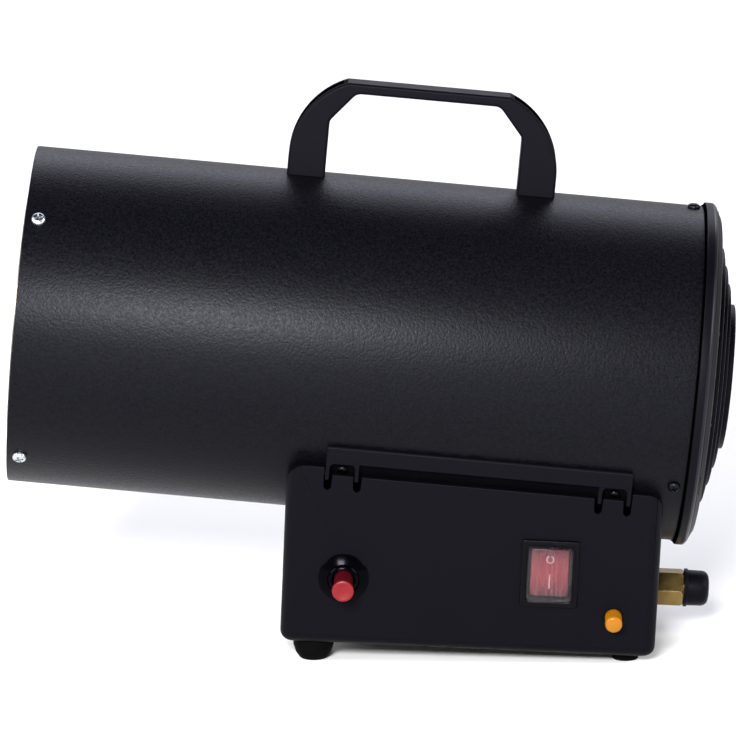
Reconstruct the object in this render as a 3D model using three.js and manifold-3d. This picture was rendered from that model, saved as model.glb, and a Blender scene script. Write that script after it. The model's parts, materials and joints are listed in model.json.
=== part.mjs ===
// A portable gas-fired forced air heater: a rolled steel drum blows fan air past a burner,
// and a moulded control box under the drum holds the gas valve, the igniter and the fan switch.
// Millimetres, +Z up, standing on the floor at z = 0. The hot air leaves at -X, the controls face -Y.
import * as THREE from "three";
import { mergeVertices } from "three/addons/utils/BufferGeometryUtils.js";
import Module from "manifold-3d";

const wasm = await Module();
wasm.setup();

// ---------------------------------------------------------------- driving dimensions
const gap = 0.3; // room between pieces that touch
const flatness = 0.01; // facets of one face are joined within this
const drumSides = 36; // flats that stand for the drum's round
const drumRadius = 95;
const drumWall = 1.2;
const drumLength = 384.5;
const drumTilt = 5.15; // degrees, outlet end up
const outletX = -197.05; // centre of the outlet rim
const outletZ = 185.4;
const axisY = 3.01; // puts the origin midway between the igniter button and the drum's rear side
const hemLength = 3.5; // the outlet edge is folded in on itself

const chamberRadius = 75;
const chamberLength = 205;
const outletScrewX = 7.5; // from the outlet rim
const outletScrewAngles = [45, 135, 225, 315]; // from the top of the drum towards the front
const grilleX = 378; // front edge of the rear ring
const grilleScrewX = 371.5;
const grilleScrewAngles = [0, 120, 240];
const ribCount = 9;

const boxLength = 210;
const boxFootprint = 152.8; // across the bottom, front to rear
const boxUndercut = 6; // degrees, the panels lean out towards the top
const boxTilt = 2.5; // degrees, outlet end up
const boxWall = 2.5;
const boxX = 54.15; // middle of the box's underside
const boxZ = 8.86;
const ledgeZ = -53.2; // the box's top ledge, below the drum's axis
const seatZ = -57.4; // and lower where the saddle lies over it

const saddleStart = 178; // along the drum
const saddleEnd = 348.1;
const saddleInner = drumRadius + gap;
const saddleOuter = 97.3;
const forks = [ // along the drum, from each fork's first prong to its last
  [saddleStart, 196.6],
  [329.8, saddleEnd],
];
const saddleScrewAngles = [124.5, 235.5];

const handleMiddle = 217; // along the drum
const handleSpan = 151;
const handleTop = 149.6; // above the drum's axis
const handleWidth = 18;
const handleArc = 46.8;

const switchAt = [43.7, 47.8]; // along the box and above its underside
const switchSize = [32.2, 39.4];
const rockerTilt = 8; // degrees to each side
const igniterAt = [-70.8, 39.6];
const igniterTravel = 6; // how far the button goes in
const valveAt = [80.6, 23.1];
const valveTravel = 5;
const inletHeight = 22.9;
const closedSpring = 5; // room that a pressed button's spring needs

const footY = 58.5;
const frontFootU = -86.3; // along the box
const rearFootU = 89;

// ---------------------------------------------------------------- working tools
const degrees = THREE.MathUtils.degToRad;

// A three.js geometry as a solid that can be cut and joined.
function toSolid(geometry) {
  const loose = geometry.index ? geometry.toNonIndexed() : geometry.clone();
  loose.deleteAttribute("normal");
  loose.deleteAttribute("uv");
  const merged = mergeVertices(loose, 1e-4);
  const vertices = merged.attributes.position.array;
  const index = merged.index.array;
  const corners = [];
  let volume = 0;
  const [a, b, c] = [new THREE.Vector3(), new THREE.Vector3(), new THREE.Vector3()];
  for (let i = 0; i < index.length; i += 3) {
    const [p, q, r] = index.slice(i, i + 3);
    if (p === q || q === r || r === p) continue;
    corners.push(p, q, r);
    a.fromArray(vertices, 3 * p);
    b.fromArray(vertices, 3 * q);
    c.fromArray(vertices, 3 * r);
    volume += a.dot(b.cross(c));
  }
  if (volume < 0) corners.reverse();
  const mesh = new wasm.Mesh({
    numProp: 3,
    vertProperties: vertices,
    triVerts: new Uint32Array(corners),
  });
  return new wasm.Manifold(mesh);
}

function toGeometry(solid) {
  const mesh = solid.simplify(flatness).getMesh();
  const geometry = new THREE.BufferGeometry();
  geometry.setAttribute("position", new THREE.BufferAttribute(mesh.vertProperties, 3));
  geometry.setIndex(new THREE.BufferAttribute(mesh.triVerts, 1));
  return geometry;
}

const join = (base, ...others) =>
  toGeometry(others.reduce((sum, other) => sum.add(toSolid(other)), toSolid(base)));
const cut = (base, ...tools) =>
  toGeometry(tools.reduce((rest, tool) => rest.subtract(toSolid(tool)), toSolid(base)));
const common = (base, other) => toGeometry(toSolid(base).intersect(toSolid(other)));

// A block from its lowest and highest corners.
function block(x0, x1, y0, y1, z0, z1) {
  const geometry = new THREE.BoxGeometry(x1 - x0, y1 - y0, z1 - z0);
  return geometry.translate((x0 + x1) / 2, (y0 + y1) / 2, (z0 + z1) / 2);
}

// A revolved piece about Z from [radius, height] pairs.
function turned(profile, segments = 24) {
  const points = profile.map(([radius, height]) => new THREE.Vector2(radius, height));
  return new THREE.LatheGeometry(points, segments).rotateX(Math.PI / 2);
}

// The same about X: its heights run along +X.
const turnedX = (profile, segments) => turned(profile, segments).rotateY(Math.PI / 2);

// The same about Y: its heights run along -Y, out of the front panel.
const turnedOut = (profile, segments) => turned(profile, segments).rotateX(Math.PI / 2);

const rod = (radius, from, to, sides = 16) =>
  turned([[0, from], [radius, from], [radius, to], [0, to]], sides);
const rodX = (radius, from, to, sides) => rod(radius, from, to, sides).rotateY(Math.PI / 2);
const rodY = (radius, from, to, sides) => rod(radius, from, to, sides).rotateX(-Math.PI / 2);

const ringProfile = (outer, inner, from, to) =>
  [[inner, from], [outer, from], [outer, to], [inner, to], [inner, from]];

// An outline with rounded corners from [x, y, corner radius] triples.
function outline(corners) {
  const shape = new THREE.Shape();
  const at = (i) => new THREE.Vector2(...corners[(i + corners.length) % corners.length]);
  corners.forEach(([x, y, radius = 0], i) => {
    if (radius === 0) {
      if (i === 0) shape.moveTo(x, y);
      else shape.lineTo(x, y);
      return;
    }
    const here = at(i);
    const back = at(i - 1).sub(here).normalize();
    const ahead = at(i + 1).sub(here).normalize();
    const half = Math.acos(back.dot(ahead)) / 2;
    const reach = radius / Math.tan(half);
    const middle = back.clone().add(ahead).setLength(radius / Math.sin(half)).add(here);
    const from = back.clone().multiplyScalar(reach).add(here).sub(middle);
    const to = ahead.clone().multiplyScalar(reach).add(here).sub(middle);
    const clockwise = back.cross(ahead) > 0;
    // A path joins its opening point to a line, but not to an arc.
    if (i === 1) shape.lineTo(middle.x + from.x, middle.y + from.y);
    shape.absarc(middle.x, middle.y, radius, from.angle(), to.angle(), clockwise);
  });
  shape.closePath();
  return shape;
}

const rectangle = (width, height, radius = 0) =>
  outline([
    [-width / 2, -height / 2, radius],
    [width / 2, -height / 2, radius],
    [width / 2, height / 2, radius],
    [-width / 2, height / 2, radius],
  ]);

// A shape drawn in plan, raised from z0 to z1.
function raised(shape, z0, z1, curveSegments = 4) {
  const geometry = new THREE.ExtrudeGeometry(shape, {
    depth: z1 - z0,
    bevelEnabled: false,
    curveSegments,
  });
  return geometry.translate(0, 0, z0);
}

// A shape drawn in the X-Z plane, running from y0 to y1.
const alongY = (shape, y0, y1, curveSegments) =>
  raised(shape, -y1, -y0, curveSegments).rotateX(Math.PI / 2);

// A shape drawn in the Y-Z plane, running from x0 to x1.
function alongX(shape, x0, x1, curveSegments) {
  const turn = new THREE.Matrix4().set(0, 0, 1, 0, 1, 0, 0, 0, 0, 1, 0, 0, 0, 0, 0, 1);
  return raised(shape, x0, x1, curveSegments).applyMatrix4(turn);
}

// A round bar or pipe along a smooth route.
function pipe(points, radius, sides, steps) {
  const route = new THREE.CatmullRomCurve3(points.map((p) => new THREE.Vector3(...p)));
  const section = new THREE.Shape();
  for (let i = 0; i < sides; i++) {
    const turn = (2 * Math.PI * i) / sides;
    section.lineTo(radius * Math.cos(turn), radius * Math.sin(turn));
  }
  return new THREE.ExtrudeGeometry(section, { extrudePath: route, steps });
}

// A hole or pin that points out of the drum at an angle from its top towards the front.
function radial(geometry, x, angle) {
  return geometry.rotateX(degrees(angle)).translate(x, 0, 0);
}

// ---------------------------------------------------------------- the two tilted frames
const heater = new THREE.Group();

const drum = new THREE.Group(); // x runs along the drum's axis from the outlet rim
drum.position.set(outletX, axisY, outletZ);
drum.rotation.y = degrees(drumTilt);
heater.add(drum);

const box = new THREE.Group(); // z is the height above the box's underside
box.position.set(boxX, axisY, boxZ);
box.rotation.y = degrees(boxTilt);
heater.add(box);

heater.updateMatrixWorld(true);
const drumToBox = box.matrixWorld.clone().invert().multiply(drum.matrixWorld);
const boxToDrum = drumToBox.clone().invert();
const intoBox = (geometry) => geometry.applyMatrix4(drumToBox);
const intoDrum = (geometry) => geometry.applyMatrix4(boxToDrum);
const pointIntoDrum = (point) => new THREE.Vector3(...point).applyMatrix4(boxToDrum).toArray();

const undercut = Math.tan(degrees(boxUndercut));
const panelY = (height) => -(boxFootprint / 2 + height * undercut);

// Controls stand square on the leaning front panel: z is inside, -y is out of the panel.
function onPanel([u, height]) {
  const seat = new THREE.Group();
  seat.position.set(u, panelY(height), height);
  seat.rotation.x = degrees(boxUndercut);
  box.add(seat);
  seat.updateMatrix();
  return seat;
}

// ---------------------------------------------------------------- finishes
const finish = (color, roughness, metalness = 0, more = {}) =>
  new THREE.MeshStandardMaterial({ color, roughness, metalness, ...more });
const blackPaint = finish(0x1d1e22, 0.45, 0.3);
const blackPlastic = finish(0x1a1a1d, 0.5);
const glossPlastic = finish(0x0c0c0e, 0.2);
const rubber = finish(0x161617, 0.85);
const zincSteel = finish(0xb9bcc0, 0.35, 1);
const blackSteel = finish(0x202124, 0.4, 0.8);
const heatSteel = finish(0x8d8a86, 0.45, 1);
const galvanised = finish(0x9fa3a6, 0.5, 1);
const brass = finish(0xa8843f, 0.35, 1);
const copper = finish(0xb06f4a, 0.35, 1);
const winding = finish(0x9a5527, 0.5, 0.4);
const redPlastic = finish(0xe2313c, 0.35);
const yellowPlastic = finish(0xeda41c, 0.35);
const redGlow = finish(0xc8303a, 0.2, 0, { transparent: true, opacity: 0.8 });
const clearPlastic = finish(0xe8e4e6, 0.15, 0, { transparent: true, opacity: 0.3 });
const ceramic = finish(0xe9e4d8, 0.4);
const greyPlastic = finish(0x7e8084, 0.6);

function piece(name, geometry, material, parent) {
  const mesh = new THREE.Mesh(toGeometry(toSolid(geometry)), material);
  mesh.name = name;
  parent.add(mesh);
  return mesh;
}

// ---------------------------------------------------------------- screws
// A pan head above z = 0 with its shank below.
function panScrew(headRadius, headHeight, shankRadius, shankLength) {
  const profile = [
    [0, -shankLength],
    [shankRadius, -shankLength],
    [shankRadius, 0],
    [headRadius, 0],
    [0.7 * headRadius, headHeight],
    [0, headHeight],
  ];
  return turned(profile, 7);
}

function radialScrew(name, screw, material, x, angle, radius) {
  const turn = degrees(angle);
  const mesh = piece(name, screw, material, drum);
  mesh.position.set(x, -radius * Math.sin(turn), radius * Math.cos(turn));
  mesh.rotation.x = turn;
}

const screwRadius = 2;
const screwHole = screwRadius + 2 * gap; // its flats stay clear of the screw
const radialHole = (x, angle, from, to, radius = screwHole) =>
  radial(rod(radius, from, to, 6), x, angle);

// ---------------------------------------------------------------- drum casing
const pipeWindow = { from: 243, to: 273, halfWidth: 18 };
const leadHoleX = 305;
const handleScrewX = [152.2, 281.8]; // the middles of the handle's legs

function windowThrough(margin) {
  const { from, to, halfWidth } = pipeWindow;
  const [x0, x1, y] = [from - margin, to + margin, halfWidth + margin];
  return block(x0, x1, -y, y, -110, -80);
}

function drumCasing() {
  const inner = drumRadius - drumWall;
  const hem = 1;
  const shell = turnedX(
    [
      [drumRadius, 0],
      [drumRadius, drumLength],
      [inner, drumLength],
      [inner, hemLength],
      [inner - hem, hemLength],
      [inner - hem, 0],
      [drumRadius, 0],
    ],
    drumSides,
  );
  const holes = [
    ...outletScrewAngles.map((angle) => radialHole(outletScrewX, angle, 80, 110)),
    ...grilleScrewAngles.map((angle) => radialHole(grilleScrewX, angle, 80, 110)),
    ...handleScrewX.map((x) => radialHole(x, 0, 80, 110)),
    ...saddleScrews().map(([x, angle]) => radialHole(x, angle, 80, 110)),
    radialHole(leadHoleX, 180, 80, 110, 6),
    windowThrough(0),
  ];
  return cut(shell, ...holes);
}

function saddleScrews() {
  return forks.flatMap(([from, to]) =>
    saddleScrewAngles.map((angle) => [(from + to) / 2, angle]),
  );
}

piece("drum_casing", drumCasing(), blackPaint, drum);

// ---------------------------------------------------------------- combustion chamber and its spacer
const chamberSides = 24;

function combustionChamber() {
  const wall = 1;
  const lip = 77;
  return turnedX(
    [
      [chamberRadius, 4],
      [chamberRadius, chamberLength],
      [chamberRadius - wall, chamberLength],
      [chamberRadius - wall, 3.6],
      [lip - wall, -1.5],
      [lip, -1.5],
      [chamberRadius, 4],
    ],
    chamberSides,
  );
}

// A band spot-welded round the chamber, with four struts whose feet take the outlet screws.
function chamberSpacer() {
  const bandInner = chamberRadius + gap;
  const bandOuter = bandInner + 1.2;
  const footOuter = drumRadius - drumWall - gap;
  const footInner = footOuter - 1.2;
  const band = turnedX(ringProfile(bandOuter, bandInner, 6, 18), chamberSides);
  const struts = outletScrewAngles.map((angle) => {
    const upright = block(16.5, 18, -6, 6, bandOuter - 0.4, footInner + 0.4);
    const foot = block(2, 18, -6, 6, footInner - 0.4, footInner + 0.8);
    return radial(join(upright, foot), 0, angle);
  });
  const outside = turnedX(ringProfile(footOuter + 20, footOuter, -5, 30), drumSides);
  const hemRoom = turnedX(ringProfile(drumRadius, footInner - 2, -5, hemLength + gap), drumSides);
  const holes = outletScrewAngles.map((angle) => radialHole(outletScrewX, angle, 85, 100));
  return cut(join(band, ...struts), outside, hemRoom, ...holes);
}

piece("combustion_chamber", combustionChamber(), heatSteel, drum);
piece("chamber_spacer", chamberSpacer(), galvanised, drum);

const outletScrew = panScrew(4, 2.6, screwRadius, 5);
outletScrewAngles.forEach((angle, i) =>
  radialScrew(`outlet_screw_${i + 1}`, outletScrew, zincSteel, outletScrewX, angle, drumRadius + gap),
);

// ---------------------------------------------------------------- rear grille
// A moulded ring caps the drum, and stepped rings on radial ribs dome out over the fan.
function rearGrille() {
  const rimRear = grilleX + 9.5;
  const rimOuter = 97.2;
  const rimInner = 87.5;
  const rim = turnedX(
    [
      [drumRadius + gap, grilleX],
      [rimOuter, grilleX],
      [rimOuter, rimRear - 4.2],
      [rimOuter - 4, rimRear - 0.4],
      [rimInner, rimRear],
      [rimInner, drumLength + gap],
      [drumRadius + gap, drumLength + gap],
      [drumRadius + gap, grilleX],
    ],
    drumSides,
  );
  const steps = [
    [82.5, 10.2, 4.5], // outer radius, rear face past the rim's front edge, depth
    [72.5, 13.2, 4.5],
    [62.5, 16, 5],
    [52.5, 18.6, 5],
    [41, 22.5, 7],
    [28, 22.5, 6],
  ];
  const thickness = 3.2;
  const rings = steps.map(([radius, rear, depth]) => {
    const back = grilleX + rear;
    const profile = ringProfile(radius, radius - thickness, back - depth, back);
    return turnedX(profile, 2 * ribCount).rotateX(degrees(90 / ribCount)); // a rib meets each ring at a flat
  });
  const hub = rodX(11, 394, 400.5, 12);
  const ribProfile = outline([
    [383.8, 88.5],
    [395.2, 38],
    [395.2, 9],
    [397.4, 9],
    [397.4, 38],
    [385.8, 88.5],
  ]);
  const rib = alongY(ribProfile, -1, 1);
  const ribs = Array.from({ length: ribCount }, (_, i) =>
    radial(rib.clone(), 0, (360 * (i + 0.5)) / ribCount),
  );
  const drumInside = turnedX(ringProfile(drumRadius - drumWall - gap, 91, 360, 390), drumSides);
  const tabs = grilleScrewAngles.map((angle) => {
    const tab = common(block(365, 386, -7, 7, 85, 100), drumInside);
    const web = block(384, 386.5, -7, 7, 86.5, 93);
    return radial(join(tab, web), 0, angle);
  });
  const holes = grilleScrewAngles.map((angle) => radialHole(grilleScrewX, angle, 80, 100));
  return cut(join(rim, ...rings, hub, ...ribs, ...tabs), ...holes);
}

piece("rear_grille", rearGrille(), blackPlastic, drum);

const grilleScrew = panScrew(3.5, 2.3, screwRadius, 5);
grilleScrewAngles.forEach((angle, i) =>
  radialScrew(`grille_screw_${i + 1}`, grilleScrew, blackSteel, grilleScrewX, angle, drumRadius + gap),
);

// ---------------------------------------------------------------- carrying handle
function carryHandle() {
  const outer = handleSpan / 2;
  const inner = outer - 21.4;
  const arcMiddle = outer - handleArc;
  const arcHeight = 106;
  const arcMeets = Math.asin((handleTop - arcHeight) / handleArc); // where the arc reaches the top
  const shoulder = arcMiddle + handleArc * Math.cos(arcMeets);
  const underside = 143.5;

  const side = new THREE.Shape();
  side.moveTo(outer, 80);
  side.lineTo(outer, arcHeight);
  side.absarc(arcMiddle, arcHeight, handleArc, 0, arcMeets, false);
  side.lineTo(-shoulder, handleTop);
  side.absarc(-arcMiddle, arcHeight, handleArc, Math.PI - arcMeets, Math.PI, false);
  side.lineTo(-outer, 80);
  side.lineTo(-inner, 80);
  side.lineTo(-inner, 125.3);
  side.lineTo(1.2 - inner, 128.5);
  side.lineTo(-42.1, 141.4);
  side.lineTo(-37.5, underside);
  side.lineTo(37.5, underside);
  side.lineTo(42.1, 141.4);
  side.lineTo(inner - 1.2, 128.5);
  side.lineTo(inner, 125.3);
  side.lineTo(inner, 80);
  side.closePath();
  const body = alongY(side, -handleWidth / 2, handleWidth / 2, 7);

  const grooveWidth = 12;
  const grooveDepth = 5;
  const grooves = [1, -1].map((way) => {
    const channel = new THREE.Shape();
    const bottom = 100;
    channel.moveTo(way * (outer + 5), bottom);
    channel.lineTo(way * (outer - grooveDepth), bottom);
    for (let i = 0; i <= 8; i++) {
      const turn = (i / 8) * (arcMeets - 0.06);
      const reach = handleArc - grooveDepth;
      channel.lineTo(way * (arcMiddle + reach * Math.cos(turn)), arcHeight + reach * Math.sin(turn));
    }
    channel.lineTo(way * (shoulder - 0.5), handleTop + 10);
    channel.lineTo(way * (outer + 5), handleTop + 10);
    channel.closePath();
    return alongY(channel, -grooveWidth / 2, grooveWidth / 2);
  });
  const drumRoom = rodX(drumRadius + gap, -200, 200, drumSides);
  const screwHoles = handleScrewX.map((x) =>
    rod(screwHole, 90, 108, 8).translate(x - handleMiddle, 0, 0),
  );
  return cut(body, ...grooves, drumRoom, ...screwHoles).translate(handleMiddle, 0, 0);
}

piece("carry_handle", carryHandle(), blackPlastic, drum);

// Two screws hold the handle from inside the drum.
const handleScrew = panScrew(4, 2.4, screwRadius, 14).rotateX(Math.PI);
handleScrewX.forEach((x, i) => {
  const mesh = piece(`handle_screw_${i + 1}`, handleScrew, zincSteel, drum);
  mesh.position.set(x, 0, drumRadius - drumWall - 2 * gap);
});

// ---------------------------------------------------------------- saddle between drum and box
// The panel's own plane, as a slab that stands out from it and reaches in behind it.
function panelSlab(outside, inside) {
  const shape = outline([
    [panelY(0) - outside, 0],
    [panelY(120) - outside, 120],
    [panelY(120) + inside, 120],
    [panelY(0) + inside, 0],
  ]);
  return alongX(shape, -boxLength / 2, boxLength / 2);
}

const mirrorY = (geometry) => toGeometry(toSolid(geometry.clone().scale(1, -1, 1)));

const prongEnd = -63.6;
const prongWidth = 2.6;
const notchTop = -50.8;

function drumSaddle() {
  const [from, to] = [degrees(209.2), degrees(330.8)];
  const arch = new THREE.Shape();
  arch.absarc(0, 0, saddleOuter, from, to, false);
  arch.absarc(0, 0, saddleInner, to, from, true);
  arch.closePath();
  const plate = alongX(arch, saddleStart, saddleEnd, 12);

  const hook = outline([
    [-84.2, -45.6],
    [-84.9, -44],
    [-87.3, -43.7],
    [-88, -44.6],
    [-87.4, -48.9],
    [-82.6, -48.9],
  ]);
  const lip = alongX(hook, saddleStart, saddleEnd);
  // Each fork is two prongs that lie on the panel, with a round-cornered notch between them.
  const prongs = forks.map(([left, right]) => {
    const shape = outline([
      [left, -47],
      [left, prongEnd],
      [left + prongWidth, prongEnd],
      [left + prongWidth, notchTop, 2.5],
      [right - prongWidth, notchTop, 2.5],
      [right - prongWidth, prongEnd],
      [right, prongEnd],
      [right, -47],
    ]);
    return common(alongY(shape, -95, -75, 2), intoDrum(panelSlab(0.2, 1.9)));
  });
  const side = join(lip, ...prongs);
  const screwHoles = saddleScrews().map(([x, angle]) => radialHole(x, angle, 80, 110));
  const others = [
    radialHole(leadHoleX, 180, 80, 110, 6),
    windowThrough(1),
  ];
  return cut(join(plate, side, mirrorY(side)), ...screwHoles, ...others);
}

piece("drum_saddle", drumSaddle(), blackPlastic, drum);

const saddleScrew = panScrew(3.2, 2.2, 1.8, 6);
saddleScrews().forEach(([x, angle], i) =>
  radialScrew(`saddle_screw_${i + 1}`, saddleScrew, blackSteel, x, angle, saddleOuter + gap),
);

// ---------------------------------------------------------------- control box shells
const bossPlaces = [-92, 52];
const bossHeight = 11;
const shellScrewSeat = 12; // behind the joint between the shells

// A closed body in the box's shape, drawn in by an offset all round.
function boxBody(offset, fillet, rounding) {
  const [length, depth] = [boxLength - 2 * offset, boxFootprint - 2 * offset];
  const body = new THREE.ExtrudeGeometry(rectangle(length, depth, fillet + 1), {
    depth: 120,
    bevelThickness: fillet,
    bevelSize: fillet,
    bevelOffset: -fillet,
    bevelSegments: rounding,
    curveSegments: rounding,
  });
  body.translate(0, 0, fillet + offset);
  const place = body.attributes.position;
  for (let i = 0; i < place.count; i++) {
    place.setY(i, place.getY(i) * (1 + (place.getZ(i) * undercut) / (boxFootprint / 2)));
  }
  return body;
}

// The box's top as seen from the front: it runs along the drum between two corners.
function boxFront(offset, leftRadius, rightRadius) {
  const [low, high] = [0, 400].map((x) => new THREE.Vector3(x, 0, ledgeZ).applyMatrix4(drumToBox));
  const half = boxLength / 2 - offset;
  const top = (u) => low.z + ((u - low.x) * (high.z - low.z)) / (high.x - low.x) - offset;
  const shape = outline([
    [-half, -5],
    [half, -5],
    [half, top(half), rightRadius],
    [-half, top(-half), leftRadius],
  ]);
  return alongY(shape, -110, 110, 2);
}

// Room for the drum, the saddle and its screws over the box.
function drumRoom() {
  const screwRoom = saddleScrews().map(([x, angle]) => radialHole(x, angle, 90, 101, 3.8));
  return [
    rodX(drumRadius + 1.2, 100, 450, 24),
    rodX(saddleOuter + 1.2, saddleStart - gap, saddleEnd + gap, 24),
    ...screwRoom,
  ].map(intoBox);
}

function seatRoom(drop, margin) {
  const slab = block(saddleStart - margin, saddleEnd + margin, -120, 120, seatZ - drop, 0);
  return intoBox(slab);
}

function boxShell() {
  const outside = common(boxBody(0, 6, 2), boxFront(0, 11, 9));
  const hollow = common(boxBody(boxWall, 4, 1), boxFront(boxWall, 0, 0));
  const inside = cut(hollow, seatRoom(boxWall, boxWall + gap));
  // Each prong drops into a round-ended slot; the outlet fork's slots have their play behind it.
  const slotWidth = 4.2;
  const play = slotWidth - prongWidth - gap;
  const slots = forks.flatMap(([left, right], i) =>
    [left, right - prongWidth].map((prong) => {
      const x = prong - (i === 0 ? gap : play);
      const shape = outline([
        [x, -40],
        [x, prongEnd - 2.7, 2],
        [x + slotWidth, prongEnd - 2.7, 2],
        [x + slotWidth, -40],
      ]);
      return intoBox(alongY(shape, -120, 120, 2));
    }),
  );
  const slotRoom = slots.flatMap((slot) => [
    common(slot, panelSlab(3, boxWall + 0.6)),
    common(slot, mirrorY(panelSlab(3, boxWall + 0.6))),
  ]);
  return cut(outside, inside, seatRoom(0, gap), ...drumRoom(), ...slotRoom);
}

const shell = boxShell();
const frontHalf = block(-150, 150, -150, -gap / 2, -10, 200);
const rearHalf = block(-150, 150, gap / 2, 150, -10, 200);
const inletHole = alongX(new THREE.Shape().absarc(0, inletHeight, 6.9, 0, 2 * Math.PI), 95, 115, 8);

// A round hole square through the leaning front panel.
function panelHole([u, height], radius) {
  const hole = turnedOut([[0, -12], [radius, -12], [radius, 12], [0, 12]], 18);
  return hole.rotateX(degrees(boxUndercut)).translate(u, panelY(height), height);
}

const bushPlace = [46, 30]; // behind the middle and above the underside, in the end wall
const standingHole = (radius, u, y) => rod(radius, -20, 12, 10).translate(u, y, 0);
const footPlaces = [
  ["front_foot_near", frontFootU, -footY],
  ["front_foot_far", frontFootU, footY],
  ["rear_foot_near", rearFootU, -footY],
  ["rear_foot_far", rearFootU, footY],
];
const footHoles = footPlaces.map(([, u, y]) => standingHole(3.5, u, y));

// A rod along Y at each of the two screws that clamp the shells.
const atBosses = (radius, from, to, sides) =>
  bossPlaces.map((u) => rodY(radius, from, to, sides).translate(u, 0, bossHeight));

function frontShell() {
  const [u, height] = switchAt;
  const switchHole = block(-13.9, 13.9, -12, 12, -17.4, 17.4)
    .rotateX(degrees(boxUndercut))
    .translate(u, panelY(height), height);
  return cut(
    join(common(shell, frontHalf), ...atBosses(4.6, -75, -gap / 2, 10)),
    ...atBosses(screwHole, -18, 1, 8),
    inletHole,
    switchHole,
    panelHole(igniterAt, 8.9),
    panelHole(valveAt, 5.2),
    ...footHoles,
  );
}

function rearShell() {
  const ventSlots = Array.from({ length: 6 }, (_, i) =>
    block(-1.5, 1.5, 60, 100, 28, 58).translate(12 * i - 30, 0, 0),
  );
  return cut(
    join(common(shell, rearHalf), ...atBosses(5.6, gap / 2, 76.6, 10)),
    ...atBosses(screwHole, -1, 13, 8),
    ...atBosses(4.1, shellScrewSeat, 90, 10),
    inletHole,
    ...ventSlots,
    rodX(7, 95, 115, 16).translate(0, bushPlace[0], bushPlace[1]),
    ...footHoles,
  );
}

piece("front_shell", frontShell(), blackPlastic, box);
piece("rear_shell", rearShell(), blackPlastic, box);

const shellScrew = panScrew(3.6, 2.2, screwRadius, 26).rotateX(-Math.PI / 2);
bossPlaces.forEach((u, i) => {
  const mesh = piece(`shell_screw_${i + 1}`, shellScrew, zincSteel, box);
  mesh.position.set(u, shellScrewSeat + gap, bossHeight);
});

// ---------------------------------------------------------------- feet
// Rubber feet push into the underside; the outlet end stands on the taller pair.
function foot(u, y, profile) {
  const stem = [[0, 8], [3.1, 8], [3.1, -20], [0, -20]];
  const bottom = new THREE.Vector3(u, y, 0).applyMatrix4(box.matrixWorld);
  const bowl = turned(profile, 12).translate(bottom.x, bottom.y, 0);
  const under = block(-200, 200, -100, 100, -30, -gap).applyMatrix4(box.matrixWorld);
  const peg = turned(stem, 6).translate(u, y, 0).applyMatrix4(box.matrixWorld);
  const ground = block(-300, 300, -100, 100, -100, 2);
  return join(common(bowl, under), cut(peg, ground));
}

const tallFoot = [[0, 0], [5.9, 0], [7.6, 0.7], [10, 4], [11.3, 8], [11.7, 20], [0, 20]];
const shortFoot = [[0, 0], [6.3, 0], [7.2, 0.5], [7.6, 1.6], [7.6, 12], [0, 12]];
footPlaces.forEach(([name, u, y]) =>
  piece(name, foot(u, y, name.startsWith("front") ? tallFoot : shortFoot), rubber, heater),
);

// ---------------------------------------------------------------- burner
// The perforated burner cup faces the outlet; its jet sits behind it on a bent bracket.
function burnerHead() {
  const cup = turnedX(
    [
      [0, 206],
      [26, 206],
      [42, 212],
      [44, 206],
      [46, 206],
      [43.5, 214],
      [27, 226],
      [13, 232],
      [9, 236],
      [5, 236],
      [5, 229],
      [0, 229],
    ],
    15,
  );
  const hollow = turnedX([[0, 208], [25, 208], [36, 213], [25, 222], [0, 226]], 9);
  const portRing = (count, radius, size) =>
    Array.from({ length: count }, (_, i) =>
      radial(rodX(size, 200, 216, 5).translate(0, 0, radius), 0, (360 * i) / count),
    );
  const throat = rodX(4, 220, 240, 8);
  return cut(cup, hollow, throat, ...portRing(6, 17, 3.4), rodX(3, 200, 216, 8));
}

// A plate across the lower half of the drum, with its foot welded to the drum's wall.
function footPlate(x, thick, topWidth, topHeight, footWay) {
  const footOuter = drumRadius - drumWall - gap;
  const upright = alongX(
    outline([
      [-16, -100],
      [16, -100],
      [16, -70],
      [topWidth / 2, -20],
      [topWidth / 2, topHeight, 3],
      [-topWidth / 2, topHeight, 3],
      [-topWidth / 2, -20],
      [-16, -70],
    ]),
    x,
    x + thick,
    3,
  );
  const reach = footWay > 0 ? [x, x + 15] : [x + thick - 15, x + thick];
  const base = block(reach[0], reach[1], -16, 16, -100, -80);
  const sole = common(base, turnedX(ringProfile(footOuter, footOuter - 1.5, 200, 320), drumSides));
  return join(common(upright, rodX(footOuter, 200, 320, drumSides)), sole);
}

const burnerPlateX = 239.5;
function burnerBracket() {
  const plate = footPlate(burnerPlateX, 1.5, 30, 14, -1);
  return cut(plate, rodX(5.3, 230, 250, 12));
}

function burnerJet() {
  return turnedX(
    [
      [0.8, 233],
      [2.4, 233],
      [3.6, 236.5],
      [5, 236.5],
      [5, burnerPlateX + 1.5 + gap],
      [7, burnerPlateX + 1.5 + gap],
      [7, 250],
      [3.4, 250],
      [3.4, 244],
      [0.8, 240],
      [0.8, 233],
    ],
    12,
  );
}

piece("burner_head", burnerHead(), heatSteel, drum);
piece("burner_bracket", burnerBracket(), galvanised, drum);
piece("burner_jet", burnerJet(), brass, drum);

// ---------------------------------------------------------------- gas valve, inlet and pipe
const valveBlock = { from: 67, to: 94, front: -56, rear: 16, bottom: 9, top: 37 };
const outletPort = [valveBlock.from, -22, 24];
const sensorPort = [valveBlock.from, 4, 24];
const buttonRadius = 4.75;
const buttonDepth = 10; // of the button's inner end behind the panel
const valveSocket = buttonDepth + valveTravel + closedSpring;

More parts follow.
